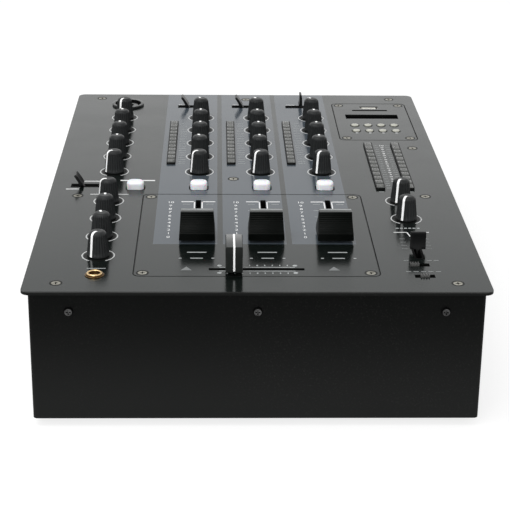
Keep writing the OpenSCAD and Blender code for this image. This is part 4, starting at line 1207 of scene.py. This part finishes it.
def print_lever_marks():
    """Lines beside the levers' slots, at the microphone's button and behind the phones' ring."""
    shape = bmesh.new()
    for column in LEVER_COLUMNS:
        for side in (-1, 1):
            print_bar(shape, column + side * 7.4, 357.5, 6.8, 0.8)
    for x, distance, length, width in ((-98.95, 181.5, 16.9, 1.1), (-113.5, 166.4, 8.0, 1.1),
                                       (-89.5, 156.6, 24.0, 0.8), (-72.9, 183.2, 22.2, 1.9)):
        print_bar(shape, x, distance, length, width)
    print_bar(shape, -88.75, 34.3, 10.5, 0.8, material=1)
    piece("lever_marks", shape, "case", [white_print, grey_print])


def print_front_right():
    """The legend line of the curve lever with its pointer, and ticks at the slide switches."""
    shape = bmesh.new()
    print_bar(shape, 86.1, 90.8, 7.8, 0.8)
    print_bar(shape, 99.5, 90.8, 7.0, 0.8)
    print_line(shape, (90.0, 90.8), (91.4, 83.2), 0.7)
    for i in range(4):
        print_bar(shape, 85.9, 80.2 - 5.2 * i, 3.4, 0.5, material=2)
        print_bar(shape, 100.0, 80.2 - 5.2 * i, 3.2, 0.5, material=2)
    for i in range(6):
        print_bar(shape, 85.05 + 2.5 * i, 97.6, 1.7, 1.4, material=1)
    for distance, columns in ((46.6, (84.4, 97.6, 101.4)), (30.2, (84.0, 88.2, 92.3, 96.4, 100.6))):
        for x in columns:
            print_bar(shape, x, distance, 2.8, 1.0, material=2)
    piece("switch_marks", shape, "case", [white_print, grey_print, faint_print])


def print_key_marks():
    """A small bar in front of every key of the front row."""
    shape = bmesh.new()
    for node in PLAYER_KEYS[:4]:
        print_bar(shape, middle_of(node).x, 288.2, 1.8, 1.2)
    piece("key_marks", shape, "case", [white_print])


print_knob_scales()
print_fader_scales()
print_crossfader_scale()
print_side_marks()
print_dark_rims()
print_gaps()
print_meter_scales()
print_lever_marks()
print_front_right()
print_key_marks()


# ---------- floor, light and camera ----------

WHITE = (1, 1, 1, 1)


def add_floor():
    """A pale floor that shows as white and keeps the mixer's shadow."""
    shape = bmesh.new()
    bmesh.ops.create_grid(shape, x_segments=1, y_segments=1, size=6.0)
    mesh = bpy.data.meshes.new("floor")
    shape.to_mesh(mesh)
    shape.free()
    material, tree, _ = new_material("pale floor")
    tree.nodes.clear()
    rays = add_node(tree, "LightPath").outputs
    seen = add_math(tree, "MULTIPLY", rays["Is Camera Ray"], 0.78)
    mirrored = add_math(tree, "MULTIPLY", rays["Is Glossy Ray"], 0.6)
    matte = add_node(tree, "BsdfDiffuse", Color=(0.3, 0.3, 0.3, 1))
    glow = add_node(tree, "Emission", Color=WHITE,
                    Strength=add_math(tree, "MAXIMUM", seen, mirrored))
    both = add_node(tree, "AddShader")
    give(tree, both.inputs[0], matte.outputs[0])
    give(tree, both.inputs[1], glow.outputs[0])
    add_node(tree, "OutputMaterial", Surface=both.outputs[0])
    mesh.materials.append(material)
    add_object("floor", mesh)


def add_world():
    """A pale surround: white where it is seen, brighter low down where it is mirrored."""
    world = bpy.data.worlds.new("studio")
    bpy.context.scene.world = world
    world.use_nodes = True
    tree = world.node_tree
    tree.nodes.clear()
    rays = add_node(tree, "LightPath").outputs
    seen = add_math(tree, "MAXIMUM", rays["Is Camera Ray"], rays["Is Glossy Ray"])
    seen = add_math(tree, "MAXIMUM", seen, rays["Is Transmission Ray"])
    aim = add_node(tree, "SeparateXYZ", Vector=add_node(tree, "TexCoord").outputs["Generated"])
    glow = add_range(tree, aim.outputs["Z"], 0.25, 0.42, 1.22, 0.93)
    level = add_range(tree, seen, 0.0, 1.0, 0.55, 1.0)
    change = add_math(tree, "MULTIPLY", rays["Is Glossy Ray"],
                      add_math(tree, "SUBTRACT", glow, 1.0))
    back = add_node(tree, "Background", Color=WHITE, Strength=add_math(tree, "ADD", change, level))
    add_node(tree, "OutputWorld", Surface=back.outputs[0])


def add_lamp(name, place, target, size, power):
    """A soft square lamp that points at a target."""
    lamp = bpy.data.lights.new(name, "AREA")
    lamp.shape = "SQUARE"
    lamp.size = size
    lamp.energy = power
    holder = add_object(name, lamp)
    holder.location = place
    holder.rotation_euler = (Vector(target) - Vector(place)).to_track_quat("-Z", "Y").to_euler()


def add_camera():
    """The viewpoint: in front of the mixer, a little left of its middle, looking down."""
    camera = bpy.data.cameras.new("camera")
    camera.sensor_width = 36.0
    camera.lens = 107.55
    camera.clip_start = 0.05
    camera.clip_end = 50.0
    holder = add_object("camera", camera)
    right = Vector((0.99967, -0.023226, 0.010947)).normalized()
    ahead = Vector((0.025632, 0.927965, -0.371784)).normalized()
    up = right.cross(ahead).normalized()
    holder.matrix_world = Matrix((
        (right.x, up.x, -ahead.x, -0.022579), (right.y, up.y, -ahead.y, -0.941505),
        (right.z, up.z, -ahead.z, 0.402972), (0, 0, 0, 1)))
    bpy.context.scene.camera = holder


add_floor()
add_world()
add_lamp("overhead lamp", (-0.5, -0.3, 1.5), (0, 0, 0.05), 1.2, 13.0)
add_lamp("front lamp", (-0.5, -1.7, 0.9), (0, 0, 0.05), 0.9, 12.0)
add_camera()
bpy.context.scene.view_settings.view_transform = "Standard"
